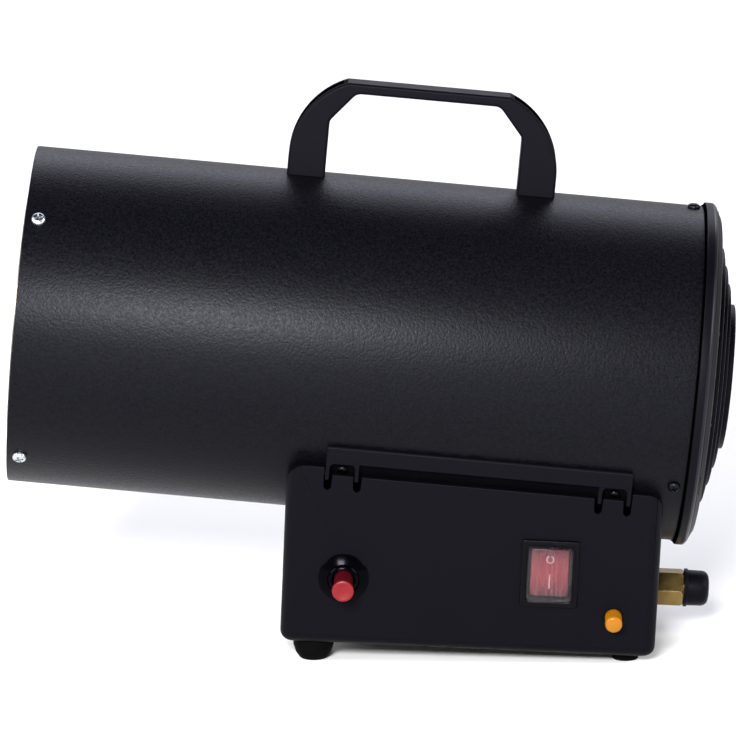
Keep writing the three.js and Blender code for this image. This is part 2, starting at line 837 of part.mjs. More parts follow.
function gasValve() {
  const { from, to, front, rear, bottom, top } = valveBlock;
  const body = block(from, to, front, rear, bottom, top);
  const neck = valveAxis(9, 3.2, 26, 16);
  const bore = valveAxis(6.9, -5, valveSocket, 14);
  return cut(
    join(body, common(neck, block(0, 120, -100, front + 2, 0, 60))),
    bore,
    rodX(6.6, 88, 100, 12).translate(0, 0, inletHeight),
    rodX(3.4, 60, 72, 8).translate(0, outletPort[1], outletPort[2]),
    rodX(2.5, 60, 72, 8).translate(0, sensorPort[1], sensorPort[2]),
  );
}

// A rod on the valve button's axis, from one depth behind the panel to another.
function valveAxis(radius, from, to, sides) {
  const [u, height] = valveAt;
  return rodY(radius, from, to, sides)
    .rotateX(degrees(boxUndercut))
    .translate(u, panelY(height), height);
}

function inletFitting() {
  const wall = boxLength / 2 + gap;
  const hexEnd = 122.5;
  const hex = new THREE.CylinderGeometry(11, 11, hexEnd - wall, 6);
  hex.rotateZ(Math.PI / 2).rotateX(Math.PI / 2).translate((hexEnd + wall) / 2, 0, 0);
  const core = turnedX(
    [
      [0, 88 + gap],
      [6.2, 88 + gap],
      [6.2, wall + 2],
      [7.6, wall + 2],
      [7.6, 132],
      [6.8, 133],
      [3.2, 133],
      [3.2, 110],
      [0, 110],
    ],
    16,
  );
  return join(core, hex).translate(0, 0, inletHeight);
}

const capStart = 122.9;
function inletCap() {
  return turnedX(
    [
      [8, capStart],
      [10.9, capStart],
      [10.9, capStart + 1.8],
      [10.1, capStart + 2.4],
      [10, 132],
      [8.8, 135],
      [5.8, 136.4],
      [0, 136.4],
      [0, 135.2],
      [6.9, 135.2],
      [8, 134],
      [8, capStart],
    ],
    16,
  ).translate(0, 0, inletHeight);
}

function gasPipe() {
  const [x, y, z] = outletPort;
  const route = [
    [x + 1.5, y, z],
    [x - 14, y, z],
    [x - 34, y + 3, z - 2],
    [x - 58, y + 14, z + 2],
    [x - 66, y + 21, z + 16],
  ].map(pointIntoDrum);
  route.push([262, 0, -80], [265, 0, -40], [264, 0, -12], [258, 0, -1], [250.5, 0, 0], [245, 0, 0]);
  return pipe(route, 3, 6, 18);
}

piece("gas_valve", gasValve(), brass, box);
piece("inlet_fitting", inletFitting(), brass, box);
piece("inlet_cap", inletCap(), blackPlastic, box);
piece("gas_pipe", gasPipe(), copper, drum);

// ---------------------------------------------------------------- buttons
const valveSeat = onPanel(valveAt);
const valveButton = turnedOut(
  [
    [0, -buttonDepth],
    [6.3, -buttonDepth],
    [6.3, -3.2],
    [buttonRadius, -3.2],
    [buttonRadius, 8.8],
    [3.6, 10.7],
    [0, 11.7],
  ],
  14,
);
piece("valve_button", valveButton, yellowPlastic, valveSeat);

// An open coil spring between a button's inner end and the bottom of its socket.
function coilSpring(radius, turns, buttonEnd, socket) {
  const wire = 0.5;
  const [near, far] = [buttonEnd + gap + wire, socket - gap - wire];
  const perTurn = 6;
  const steps = turns * perTurn;
  const points = Array.from({ length: steps + 1 }, (_, i) => {
    const turn = (2 * Math.PI * i) / perTurn;
    return [radius * Math.cos(turn), near + ((far - near) * i) / steps, radius * Math.sin(turn)];
  });
  return pipe(points, wire, 4, steps);
}

piece("valve_spring", coilSpring(4.4, 3, buttonDepth, valveSocket), zincSteel, valveSeat);

const igniterSeat = onPanel(igniterAt);
const pusherDepth = 15;
const igniterSocket = pusherDepth + igniterTravel + closedSpring;
const igniterCollar = turnedOut(
  [
    [8.9, 0.3],
    [14.1, 0.3],
    [14.1, 2.2],
    [13, 3],
    [8.9, 1.1],
    [8.9, 0.3],
  ],
  20,
);
const igniterBody = turnedOut(
  [
    [5.6, 1.5],
    [8.6, 1.5],
    [8.6, -boxWall - gap],
    [10.5, -boxWall - gap],
    [10.5, -44],
    [4, -46],
    [0, -46],
    [0, -igniterSocket],
    [5.6, -igniterSocket],
    [5.6, 1.5],
  ],
  16,
);
const igniterButton = turnedOut(
  [
    [0, -pusherDepth],
    [5.2, -pusherDepth],
    [5.2, -9],
    [3.6, -9],
    [3.6, 3],
    [5.2, 14],
    [6.3, 18],
    [6.3, 21],
    [5.5, 22.2],
    [0, 22.4],
  ],
  14,
);
piece("igniter_collar", igniterCollar, glossPlastic, igniterSeat);
piece("piezo_igniter", igniterBody, blackPlastic, igniterSeat);
piece("igniter_button", igniterButton, redPlastic, igniterSeat);
piece("igniter_spring", coilSpring(3.9, 4, pusherDepth, igniterSocket), zincSteel, igniterSeat);

// ---------------------------------------------------------------- switch
const switchSeat = onPanel(switchAt);
const rockerPivot = 5.5; // depth of the rocker's axis behind the panel's face
function switchHousing() {
  const bezel = block(-switchSize[0] / 2, switchSize[0] / 2, -1.9, -gap, -switchSize[1] / 2, switchSize[1] / 2);
  const body = block(-13.6, 13.6, -1, 24, -17, 17);
  const rim = cut(
    block(-13.6, 13.6, -3, -1, -16.7, 16.7),
    block(-12.9, 12.9, -4, 0, -16, 16),
  );
  const well = block(-11.2, 11.2, -5, 16, -15.2, 15.2);
  const terminals = [-9, 0, 9].map((z) => block(-3, 3, 23, 31, z - 0.5, z + 0.5));
  return cut(join(bezel, body, rim, ...terminals), well);
}

// Two flat faces meet in a shallow valley over the pivot.
function switchRocker() {
  const face = outline([
    [-8, -13.4],
    [-6.6, 0],
    [-8, 13.4],
    [4, 11],
    [9, 3],
    [9, -3],
    [4, -11],
  ]);
  return alongX(face, -10.6, 10.6);
}

// A clear soft cap keeps water off the rocker and flexes as it is pressed.
function switchCap() {
  const lens = new THREE.ExtrudeGeometry(rectangle(25, 31.4, 3), {
    depth: 2.6,
    bevelThickness: 1.4,
    bevelSize: 1.4,
    bevelOffset: -1.4,
    bevelSegments: 1,
    curveSegments: 3,
  });
  lens.rotateX(Math.PI / 2).translate(0, -3.6, 0);
  const room = block(-11.6, 11.6, -6.2, 4, -14.8, 14.8);
  return cut(lens, room);
}

piece("switch_housing", switchHousing(), blackPlastic, switchSeat);
const rocker = piece("switch_rocker", switchRocker(), redGlow, switchSeat);
rocker.position.y = rockerPivot;
rocker.rotation.x = -degrees(rockerTilt);
piece("switch_cap", switchCap(), clearPlastic, switchSeat);

// ---------------------------------------------------------------- fan motor
const stator = { from: 300, to: 320 };
const boltsY = [-24, 24];
const strapReach = 12; // from a strap's plate to the stator's face
function motorStator() {
  const lamination = outline([
    [-30, -44, 3],
    [30, -44, 3],
    [30, 23, 6],
    [-30, 23, 6],
  ]);
  const window = outline([[-19, -37], [19, -37], [19, -23], [-19, -23]]);
  lamination.holes.push(window);
  const stack = alongX(lamination, stator.from, stator.to, 1);
  const bolts = boltsY.map((y) => rodX(screwHole, 290, 330, 6).translate(0, y, 0));
  return cut(stack, rodX(17.6, 290, 330, 18), ...bolts);
}

function motorCoil() {
  const bobbin = block(stator.from - 8, stator.to + 8, -18.6, 18.6, -50, -23.4);
  const leg = block(stator.from - gap, stator.to + gap, -30, 30, -44 - gap, -37 + gap);
  return cut(bobbin, leg);
}

// A bent strap carries a bearing at each end of the stator.
function bearingStrap() {
  const strap = outline([
    [-30, 0],
    [30, 0],
    [30, strapReach],
    [28.4, strapReach],
    [28.4, 1.6],
    [-28.4, 1.6],
    [-28.4, strapReach],
    [-30, strapReach],
  ]);
  const body = raised(strap, -9, 9).rotateZ(Math.PI / 2);
  const boss = rodX(7.5, -5, 1, 12);
  const holes = boltsY.map((y) => rodX(screwHole, -5, 5, 6).translate(0, y, 0));
  return cut(join(body, boss), rodX(3.3, -10, 10, 10), ...holes);
}

const motorPlateX = 278;
function motorMount() {
  const plate = footPlate(motorPlateX, 2, 62, 12, 1);
  const holes = boltsY.map((y) => rodX(screwHole, 270, 290, 6).translate(0, y, 0));
  return cut(plate, rodX(12, 270, 290, 16), ...holes);
}

piece("motor_stator", motorStator(), galvanised, drum);
piece("motor_coil", motorCoil(), winding, drum);
const frontStrap = piece("motor_strap_front", bearingStrap(), galvanised, drum);
frontStrap.rotation.z = Math.PI;
frontStrap.position.x = stator.from - gap - strapReach;
const rearStrap = piece("motor_strap_rear", bearingStrap(), galvanised, drum);
rearStrap.position.x = stator.to + gap + strapReach;
piece("motor_mount", motorMount(), galvanised, drum);

const motorBolt = panScrew(3.6, 2.2, screwRadius, 60).rotateY(Math.PI / 2);
boltsY.forEach((y, i) => {
  const mesh = piece(`motor_bolt_${i + 1}`, motorBolt, zincSteel, drum);
  mesh.position.set(stator.to + gap + strapReach + gap, y, 0);
});

// ---------------------------------------------------------------- rotor and fan
const fanX = 352; // middle of the blades
const motorRotor = turnedX(
  [
    [0, 284],
    [2.9, 284],
    [2.9, stator.from],
    [16.9, stator.from],
    [16.9, stator.to],
    [2.9, stator.to],
    [2.9, 366],
    [0, 366],
  ],
  20,
);

// Five sheet blades with pitch that eases off towards the tip.
function fanImpeller() {
  const hub = turnedX(
    [[3.3, 342], [13, 342], [15, 344], [15, 359], [12, 361], [3.3, 361], [3.3, 342]],
    15,
  );
  const [root, tip, chord, thick] = [13, 86, 46, 1.6];
  const blade = new THREE.BoxGeometry(chord, thick, tip - root, 2, 1, 3);
  const place = blade.attributes.position;
  for (let i = 0; i < place.count; i++) {
    const along = place.getX(i) / chord;
    const radius = place.getZ(i) + (root + tip) / 2;
    const outward = (radius - root) / (tip - root);
    const width = chord * (0.55 + 0.75 * outward - 0.25 * outward ** 2);
    const pitch = degrees(52 - 24 * outward);
    const camber = 3.2 * (1 - 4 * along * along);
    const across = place.getY(i) + camber;
    const alongBlade = along * width;
    place.setXYZ(
      i,
      alongBlade * Math.sin(pitch) * 0.55 + across * Math.cos(pitch),
      alongBlade * Math.cos(pitch) - across * Math.sin(pitch),
      radius,
    );
  }
  const blades = Array.from({ length: 5 }, (_, i) =>
    radial(blade.clone().translate(fanX, 0, 0), 0, 72 * i),
  );
  return cut(join(hub, ...blades), rodX(3.3, 330, 370, 15));
}

piece("motor_rotor", motorRotor, zincSteel, drum);
piece("fan_impeller", fanImpeller(), blackPlastic, drum);
piece("fan_clip", turnedX(ringProfile(6.5, 3.3, 361.4, 362.8), 12), zincSteel, drum);

// ---------------------------------------------------------------- electrics and sensors
function thermostat() {
  const disc = turned([[0, 0], [8, 0], [8, 6], [6, 8.5], [0, 8.5]], 14);
  const ears = block(-3, 3, -12, 12, 0, 1.2);
  return radial(join(disc, ears).translate(0, 0, chamberRadius + gap), 190, 180);
}

// The flame sensor stands at the rim of the burner cup, its lead runs down to the valve.
function thermocouple() {
  const [x, y, z] = sensorPort;
  const route = [
    [207, 0, -49],
    [216, -4, -50],
    [228, -16, -51],
    [241, -22, -55],
    [251, -18, -68],
    [256, -13, -84],
    [257, -12, -97],
  ];
  const below = [
    [x - 50, y - 6, z + 12],
    [x - 30, y - 2, z + 4],
    [x - 12, y, z],
    [x + 1.5, y, z],
  ].map(pointIntoDrum);
  const lead = pipe([...route, ...below], 1.4, 5, 14);
  const tip = turnedX([[0, 194], [1.6, 195], [2.6, 200], [2.6, 212], [0, 212]], 8).translate(0, 0, -49);
  return join(lead, tip);
}

function ignitionElectrode() {
  const insulator = turnedX(
    [[0, 214], [2.2, 214], [3.6, 218], [3.6, 226], [5, 227], [5, 231], [3.6, 238], [0, 238]],
    8,
  );
  const wire = pipe([[216, 0, 0], [208, 0, 0], [202, 0, -3], [198, 0, -8]], 0.9, 5, 6);
  return join(insulator, wire).translate(0, 20, -46);
}

function ignitionLead() {
  const [u, height] = igniterAt;
  const start = new THREE.Vector3(0, 47, 0).applyMatrix4(igniterSeat.matrix);
  const below = [
    [start.x, start.y, start.z],
    [start.x + 1, start.y + 9, start.z - 4],
    [u + 26, -8, height - 12],
    [u + 52, 10, height - 6],
    [u + 62, 12, height + 6],
  ].map(pointIntoDrum);
  const above = [
    [251, 12, -92],
    [250, 16, -72],
    [248, 20, -50],
    [243, 20, -46],
    [238.4, 20, -46],
  ];
  return pipe([...below, ...above], 1.8, 5, 20);
}

function motorLead() {
  const above = [
    [310, 0, -50.4],
    [308, 0, -62],
    [leadHoleX, 0, -84],
  ];
  const below = [
    [34, 4, 46],
    [26, 16, 34],
    [22, 24, 27],
  ].map(pointIntoDrum);
  return pipe([...above, [leadHoleX, 0, -97], ...below], 2.2, 6, 14);
}

function terminalBlock() {
  const body = block(6, 38, 22, 40, boxWall + gap, 18);
  const screws = [11, 18, 25, 32].flatMap((u) => rod(2, 15, 20, 6).translate(u, 31, 0));
  const tower = block(14, 30, 24, 30, 17, 26);
  return cut(join(body, tower), ...screws);
}

const cableBush = turnedX(
  [[4.3, 98], [6.7, 98], [6.7, 105.3], [9, 105.3], [8.4, 108], [4.3, 108], [4.3, 98]],
  16,
).translate(0, bushPlace[0], bushPlace[1]);

piece("overheat_thermostat", thermostat(), blackPlastic, drum);
piece("thermocouple", thermocouple(), copper, drum);
piece("ignition_electrode", ignitionElectrode(), ceramic, drum);
piece("ignition_lead", ignitionLead(), rubber, drum);
piece("motor_lead", motorLead(), rubber, drum);
piece("terminal_block", terminalBlock(), greyPlastic, box);
piece("cable_bush", cableBush, rubber, box);

export default heater;
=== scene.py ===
# A portable forced air gas heater: a black powder-coated drum on a moulded control box, in a plain studio.
import json
from math import asin, atan2, cos, hypot, pi, radians, sin, tan

import bmesh
import bpy
from mathutils import Matrix, Vector

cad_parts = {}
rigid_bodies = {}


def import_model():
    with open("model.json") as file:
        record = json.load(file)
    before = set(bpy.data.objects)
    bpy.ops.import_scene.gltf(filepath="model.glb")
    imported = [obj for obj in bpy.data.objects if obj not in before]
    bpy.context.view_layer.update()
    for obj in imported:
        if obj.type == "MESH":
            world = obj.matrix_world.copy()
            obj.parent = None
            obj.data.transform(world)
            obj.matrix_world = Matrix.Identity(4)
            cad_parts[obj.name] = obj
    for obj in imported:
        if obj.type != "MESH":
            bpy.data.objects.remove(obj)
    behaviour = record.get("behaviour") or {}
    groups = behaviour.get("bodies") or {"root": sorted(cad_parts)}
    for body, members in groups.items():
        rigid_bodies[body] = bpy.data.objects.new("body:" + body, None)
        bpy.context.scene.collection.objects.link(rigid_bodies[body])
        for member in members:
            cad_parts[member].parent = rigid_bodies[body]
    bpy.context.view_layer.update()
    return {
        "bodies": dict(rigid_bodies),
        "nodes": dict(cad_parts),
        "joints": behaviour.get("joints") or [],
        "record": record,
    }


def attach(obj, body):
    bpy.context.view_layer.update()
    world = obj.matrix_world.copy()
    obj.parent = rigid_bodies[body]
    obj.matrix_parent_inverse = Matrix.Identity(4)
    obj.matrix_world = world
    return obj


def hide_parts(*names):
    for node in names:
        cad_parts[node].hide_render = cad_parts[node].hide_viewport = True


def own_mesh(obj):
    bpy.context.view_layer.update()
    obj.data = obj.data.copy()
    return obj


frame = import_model()
mm = 0.001

# camera: the photograph's own angle, low and a little to the right
camera = {
    "from": (32.6, -3360.1, 871.9),  # mm
    "to": (-2.05, 3.01, 154.0),
    "lens": 296.85,
    "sensor": 36.0,
}


def addCamera():
    data = bpy.data.cameras.new("camera")
    data.lens = camera["lens"]
    data.sensor_width = camera["sensor"]
    data.clip_end = 50.0
    eye = bpy.data.objects.new("camera", data)
    start, goal = Vector(camera["from"]) * mm, Vector(camera["to"]) * mm
    eye.matrix_world = Matrix.Translation(start) @ (goal - start).to_track_quat("-Z", "Y").to_matrix().to_4x4()
    bpy.context.scene.collection.objects.link(eye)
    bpy.context.scene.camera = eye


addCamera()
print("camera ready")

# ---- the two tilted seats that every piece is drawn on, in mm
drumSeat = {"x": -197.05, "y": 3.01, "z": 185.4, "tilt": 5.15}  # at the outlet rim, x along the drum
boxSeat = {"x": 54.15, "y": 3.01, "z": 8.86, "tilt": 2.5}  # middle of the underside
panelLean = 6  # degrees that the panels lean out towards the top
undercut = tan(radians(panelLean))
footprint = 152.8  # across the underside


def seatMatrix(seat):
    place = Matrix.Translation(Vector((seat["x"], seat["y"], seat["z"])) * mm)
    return place @ Matrix.Rotation(radians(seat["tilt"]), 4, "Y")


onDrum = seatMatrix(drumSeat)
onBox = seatMatrix(boxSeat)
drumInBox = Matrix.Scale(1 / mm, 4) @ onBox.inverted() @ onDrum @ Matrix.Scale(mm, 4)  # mm to mm


def panelPlace(u, height):  # z leaves the front panel square to it, y runs up it
    y = -(footprint / 2 + height * undercut)
    lean = Matrix.Rotation(radians(90 + panelLean), 4, "X")
    return onBox @ Matrix.Translation(Vector((u, y, height)) * mm) @ lean


# ---- materials
def fromHex(text):  # an sRGB hex colour made linear
    channels = [int(text[i : i + 2], 16) / 255 for i in (1, 3, 5)]
    linear = [c / 12.92 if c <= 0.04045 else ((c + 0.055) / 1.055) ** 2.4 for c in channels]
    return (*linear, 1.0)


def addNode(tree, kind, settings=None, values=None, links=None):
    node = tree.nodes.new(kind)
    for key, value in (settings or {}).items():
        setattr(node, key, value)
    for key, value in (values or {}).items():
        node.inputs[key].default_value = value
    for key, source in (links or {}).items():
        tree.links.new(source, node.inputs[key])
    return node


def startMaterial(name, color, roughness, **values):
    material = bpy.data.materials.new(name)
    material.use_nodes = True
    tree = material.node_tree
    tree.nodes.clear()
    shader = addNode(tree, "ShaderNodeBsdfPrincipled", values={"Base Color": fromHex(color), "Roughness": roughness})
    for key, value in values.items():
        shader.inputs[key.replace("_", " ")].default_value = value
    addNode(tree, "ShaderNodeOutputMaterial", links={"Surface": shader.outputs["BSDF"]})
    where = addNode(tree, "ShaderNodeTexCoord").outputs["Object"]
    return material, tree, shader, where


def noise(tree, where, size, detail=3.0, rough=0.55, stretch=(1, 1, 1)):  # size is the feature's width in mm
    mapped = where
    if stretch != (1, 1, 1):
        mapped = addNode(tree, "ShaderNodeMapping", values={"Scale": stretch}, links={"Vector": where}).outputs[0]
    values = {"Scale": 1 / (size * mm), "Detail": detail, "Roughness": rough}
    return addNode(tree, "ShaderNodeTexNoise", values=values, links={"Vector": mapped}).outputs["Fac"]


def spread(tree, source, low, high, fromLow=0.3, fromHigh=0.7):  # maps a noise onto a range
    values = {"From Min": fromLow, "From Max": fromHigh, "To Min": low, "To Max": high}
    return addNode(tree, "ShaderNodeMapRange", values=values, links={"Value": source}).outputs["Result"]


def tinted(tree, factor, dark, light):  # a noise's middle range between two tones
    ramp = addNode(tree, "ShaderNodeValToRGB", links={"Fac": factor})
    ramp.color_ramp.elements[0].color = fromHex(dark)
    ramp.color_ramp.elements[1].color = fromHex(light)
    ramp.color_ramp.elements[0].position = 0.3
    ramp.color_ramp.elements[1].position = 0.7
    return ramp.outputs["Color"]


def bumped(tree, shader, height, depth, strength=1.0, under=None):  # depth in mm
    values = {"Strength": strength, "Distance": depth * mm}
    links = {"Height": height}
    if under:
        links["Normal"] = under
    bump = addNode(tree, "ShaderNodeBump", values=values, links=links)
    tree.links.new(bump.outputs["Normal"], shader.inputs["Normal"])
    return bump.outputs["Normal"]


def powderCoat():  # polyester powder coat, sprayed and baked: a fine grain breaks its sheen into specks
    grain, swell = 1.5, 6.0  # mm; the real grain is about 0.5, drawn coarser so that it shows
    material, tree, shader, where = startMaterial(
        "powderCoatedSteel", "#060609", 0.4, Specular_IOR_Level=0.082, Specular_Tint=fromHex("#f2f4ff")
    )
    fine = noise(tree, where, grain, 2.0)
    broad = noise(tree, where, swell, 2.0)
    tree.links.new(tinted(tree, fine, "#030306", "#09090d"), shader.inputs["Base Color"])
    tree.links.new(spread(tree, fine, 0.34, 0.46), shader.inputs["Roughness"])
    under = bumped(tree, shader, broad, 0.03)
    bumped(tree, shader, fine, 0.16, 1.0, under)
    return material


def mouldedPlastic(name, color, roughness, grain=0.7, depth=0.02, level=0.15):
    # glass-filled polypropylene, moulded in a spark-eroded tool: an even matte grain
    material, tree, shader, where = startMaterial(
        name, color, roughness, Specular_IOR_Level=level, Specular_Tint=fromHex("#efe9ff")
    )
    fine = noise(tree, where, grain, 2.0)
    patch = noise(tree, where, 28.0, 3.0)
    tree.links.new(spread(tree, patch, roughness - 0.05, roughness + 0.06), shader.inputs["Roughness"])
    bumped(tree, shader, fine, depth)
    return material


def metal(name, dark, light, roughness, grain=2.0, stretch=(1, 1, 1), depth=0.01, vary=0.09):
    # rolled or turned metal: faint stains in its colour and fine tool lines in its shine
    material, tree, shader, where = startMaterial(name, light, roughness, Metallic=1.0)
    stain = noise(tree, where, 6.0, 3.0)
    lines = noise(tree, where, grain, 3.0, stretch=stretch)
    tree.links.new(tinted(tree, stain, dark, light), shader.inputs["Base Color"])
    tree.links.new(spread(tree, lines, roughness - vary, roughness + vary), shader.inputs["Roughness"])
    bumped(tree, shader, lines, depth)
    return material


def galvanised():  # hot-dip zinc on sheet: pale grey crystals a few millimetres across
    material, tree, shader, where = startMaterial("galvanisedSheet", "#8d9194", 0.45, Metallic=1.0)
    values = {"Scale": 1 / (4.0 * mm)}
    cells = addNode(tree, "ShaderNodeTexVoronoi", values=values, links={"Vector": where})
    tone = addNode(tree, "ShaderNodeSeparateColor", links={"Color": cells.outputs["Color"]}).outputs["Red"]
    tree.links.new(tinted(tree, tone, "#7c8084", "#9b9fa2"), shader.inputs["Base Color"])
    tree.links.new(spread(tree, tone, 0.38, 0.55, 0.0, 1.0), shader.inputs["Roughness"])
    return material


def rubber():  # moulded nitrile rubber: dead matte with a dusty bloom
    material, tree, shader, where = startMaterial("mouldedRubber", "#020202", 0.7, Specular_IOR_Level=0.025)
    bloom = noise(tree, where, 9.0, 4.0)
    fine = noise(tree, where, 0.6, 2.0)
    tree.links.new(tinted(tree, bloom, "#020202", "#050505"), shader.inputs["Base Color"])
    bumped(tree, shader, fine, 0.02)
    return material


def coloured(name, dark, light, roughness):  # pigmented acetal moulding: even colour, soft gloss
    material, tree, shader, where = startMaterial(name, light, roughness, Specular_IOR_Level=0.2)
    shade = noise(tree, where, 2.5, 2.0)
    fine = noise(tree, where, 0.5, 2.0)
    tree.links.new(tinted(tree, shade, dark, light), shader.inputs["Base Color"])
    bumped(tree, shader, fine, 0.006)
    return material


def translucentRed():  # clear red polycarbonate: its inner ribs show through as soft upright streaks
    material, tree, shader, where = startMaterial("translucentRedPlastic", "#7a2029", 0.25, Specular_IOR_Level=0.3)
    ribs = noise(tree, where, 2.2, 2.0, stretch=(1.6, 0.3, 0.14))
    height = addNode(tree, "ShaderNodeSeparateXYZ", links={"Vector": where}).outputs["Z"]
    low, high = [(onBox @ (Vector((44, 0, end)) * mm)).z for end in (33, 63)]  # the rocker's two ends
    share = spread(tree, height, 0.0, 1.0, low, high)
    streaks = spread(tree, ribs, -0.14, 0.14)
    mixed = addNode(tree, "ShaderNodeMath", {"operation": "ADD"}, links={0: share, 1: streaks}).outputs["Value"]
    tones = addNode(tree, "ShaderNodeValToRGB", links={"Fac": mixed})
    # painted shade: the rocker is drawn darker towards both ends than in its middle
    stops = ((0.02, "#220a10"), (0.2, "#4c141b"), (0.45, "#641f26"), (0.72, "#5e1a21"), (0.98, "#360c14"))
    elements = tones.color_ramp.elements
    while len(elements) < len(stops):
        elements.new(0.5)
    for element, (position, color) in zip(elements, stops):
        element.position, element.color = position, fromHex(color)
    tree.links.new(tones.outputs["Color"], shader.inputs["Base Color"])
    tree.links.new(spread(tree, ribs, 0.2, 0.34), shader.inputs["Roughness"])
    return material


def clearVinyl():  # clear flexible PVC: a thin grey haze and a wet shine on its rounded edges
    material, tree, shader, where = startMaterial(
        "clearFlexibleVinyl", "#5e5a5d", 0.12, Alpha=0.07, Specular_IOR_Level=1.0
    )
    haze = noise(tree, where, 3.0, 3.0)
    tree.links.new(spread(tree, haze, 0.1, 0.2), shader.inputs["Roughness"])
    return material


blackCoat = powderCoat()
blackPlastic = mouldedPlastic("mouldedBlackPlastic", "#050508", 0.5, level=0.05)
# painted shadow: a dead-black plastic without shine, laid in the handle's channel and along the grille's seam where
# shade falls
paintedShadow = mouldedPlastic("paintedShadowPlastic", "#010101", 0.8, 0.9, 0.03, 0.0)
handlePlastic = mouldedPlastic("mouldedHandlePlastic", "#050508", 0.46, level=0.05)
grillePlastic = mouldedPlastic("mouldedGrillePlastic", "#050508", 0.42, level=0.06)
polishedEdge = mouldedPlastic("polishedGrillePlastic", "#08080c", 0.34, 2.0, 0.002, 0.22)
softVinyl = mouldedPlastic("dippedVinyl", "#050509", 0.4, 1.2, 0.02, 0.06)
glossBlack = mouldedPlastic("polishedBlackPlastic", "#010102", 0.2, 2.0, 0.002, 0.028)
switchPlastic = mouldedPlastic("mouldedSwitchPlastic", "#030304", 0.22, 2.0, 0.002, 0.08)
greyPlastic = mouldedPlastic("mouldedGreyPlastic", "#55585b", 0.5)
blackRubber = rubber()
zinc = metal("zincPlatedSteel", "#a9adb3", "#c6c9cd", 0.3, 0.8)
blackened = metal("blackenedSteel", "#141518", "#1f2024", 0.38, 0.8)
heatedSteel = metal("heatedSheetSteel", "#5b5048", "#8a8681", 0.42, 3.0)
brass = metal("turnedBrass", "#8a7444", "#967f4d", 0.22, 2.5, depth=0.001, vary=0.03)
copper = metal("drawnCopper", "#8f5236", "#b8714b", 0.34, 1.0)
winding = metal("enamelledWinding", "#6d3714", "#93512a", 0.4, 0.6, (0.08, 1, 1), 0.08)
zincSheet = galvanised()
redPlastic = coloured("mouldedRedPlastic", "#640e12", "#6c1216", 0.36)
# painted shade: a darker red for the igniter pin, standing for the shade on it
shadedStemRed = coloured("redPlasticPaintedShade", "#3e0610", "#480814", 0.28)
yellowPlastic = coloured("mouldedYellowPlastic", "#845104", "#8c5806", 0.34)
rockerPlastic = translucentRed()
clearCover = clearVinyl()
markPaint = coloured("printedMarkPaint", "#8a6a6e", "#947478", 0.5)
ceramic = coloured("glazedCeramic", "#ddd6c6", "#ece6d8", 0.25)
print("materials ready")

# ---- studio, in metres and watts: pale floor, a soft light near the camera, wide ones behind and at the sides
studio = {
    "floorRadius": 9.0, "aim": (0, 0, 0.12),
    "keyAt": (-0.45, -3.0, 1.35), "keySize": (0.9, 0.6), "keyPower": 225.0,
    "backAt": (0.0, 2.6, 2.2), "backSize": (4.0, 1.6), "backPower": 76.0, "backColor": (0.85, 0.85, 1.0),
    "sideAt": (2.7, -0.9, 1.5), "sideSize": (2.0, 1.6), "sidePower": 80.0,
    "sky": 0.75, "bright": (0.1, (1, 1, 1, 1)), "dim": (0.6, (0.04, 0.04, 0.045, 1)),  # from the horizon up
}


def addArea(name, where, size, power, color=(1, 1, 1)):
    light = bpy.data.lights.new(name, "AREA")
    light.color = color
    light.shape = "RECTANGLE"
    light.size, light.size_y = size
    light.energy = power
    lamp = bpy.data.objects.new(name, light)
    start = Vector(where)
    aim = (Vector(studio["aim"]) - start).to_track_quat("-Z", "Y").to_matrix().to_4x4()
    lamp.matrix_world = Matrix.Translation(start) @ aim
    bpy.context.scene.collection.objects.link(lamp)


def addStudio():
    material, tree, shader, where = startMaterial("palePaintedFloor", "#f4f4f4", 0.7, Specular_IOR_Level=0.2)
    tree.links.new(tinted(tree, noise(tree, where, 900.0, 2.0), "#f2f2f2", "#f6f6f6"), shader.inputs["Base Color"])
    bm = bmesh.new()
    bmesh.ops.create_circle(bm, cap_ends=True, radius=studio["floorRadius"], segments=96)
    mesh = bpy.data.meshes.new("floor")
    bm.to_mesh(mesh)
    bm.free()
    mesh.materials.append(material)
    floor = bpy.data.objects.new("floor", mesh)
    bpy.context.scene.collection.objects.link(floor)
    addArea("softKey", studio["keyAt"], studio["keySize"], studio["keyPower"])
    addArea("wideBack", studio["backAt"], studio["backSize"], studio["backPower"], studio["backColor"])
    x, y, z = studio["sideAt"]
    for name, way in (("rightSide", 1), ("leftSide", -1)):
        addArea(name, (way * x, y, z), studio["sideSize"], studio["sidePower"])
    world = bpy.data.worlds.new("studioWalls")
    bpy.context.scene.world = world
    world.use_nodes = True
    tree = world.node_tree
    tree.nodes.clear()
    way = addNode(tree, "ShaderNodeTexCoord").outputs["Generated"]
    height = addNode(tree, "ShaderNodeSeparateXYZ", links={"Vector": way}).outputs["Z"]
    ramp = addNode(tree, "ShaderNodeValToRGB", links={"Fac": height})
    for element, (position, color) in zip(ramp.color_ramp.elements, (studio["bright"], studio["dim"])):
        element.position, element.color = position, color
    sky = {"Strength": studio["sky"]}
    shade = addNode(tree, "ShaderNodeBackground", values=sky, links={"Color": ramp.outputs["Color"]})
    addNode(tree, "ShaderNodeOutputWorld", links={"Surface": shade.outputs["Background"]})
    bpy.context.scene.view_settings.view_transform = "Standard"


addStudio()
print("studio ready")


# ---- modelling helpers; bmeshes are in mm until they are finished
def spun(profile, steps=96, closed=True):  # profile holds (x, radius) pairs, turned about X
    bm = bmesh.new()
    verts = [bm.verts.new((x, 0, radius)) for x, radius in profile]
    pairs = list(zip(verts, verts[1:])) + ([(verts[-1], verts[0])] if closed else [])
    edges = [bm.edges.new(pair) for pair in pairs]
    bmesh.ops.spin(
        bm, geom=verts + edges, cent=(0, 0, 0), axis=(1, 0, 0), angle=2 * pi, steps=steps, use_merge=True
    )
    bmesh.ops.remove_doubles(bm, verts=bm.verts, dist=1e-4)
    bmesh.ops.recalc_face_normals(bm, faces=bm.faces)
    return bm


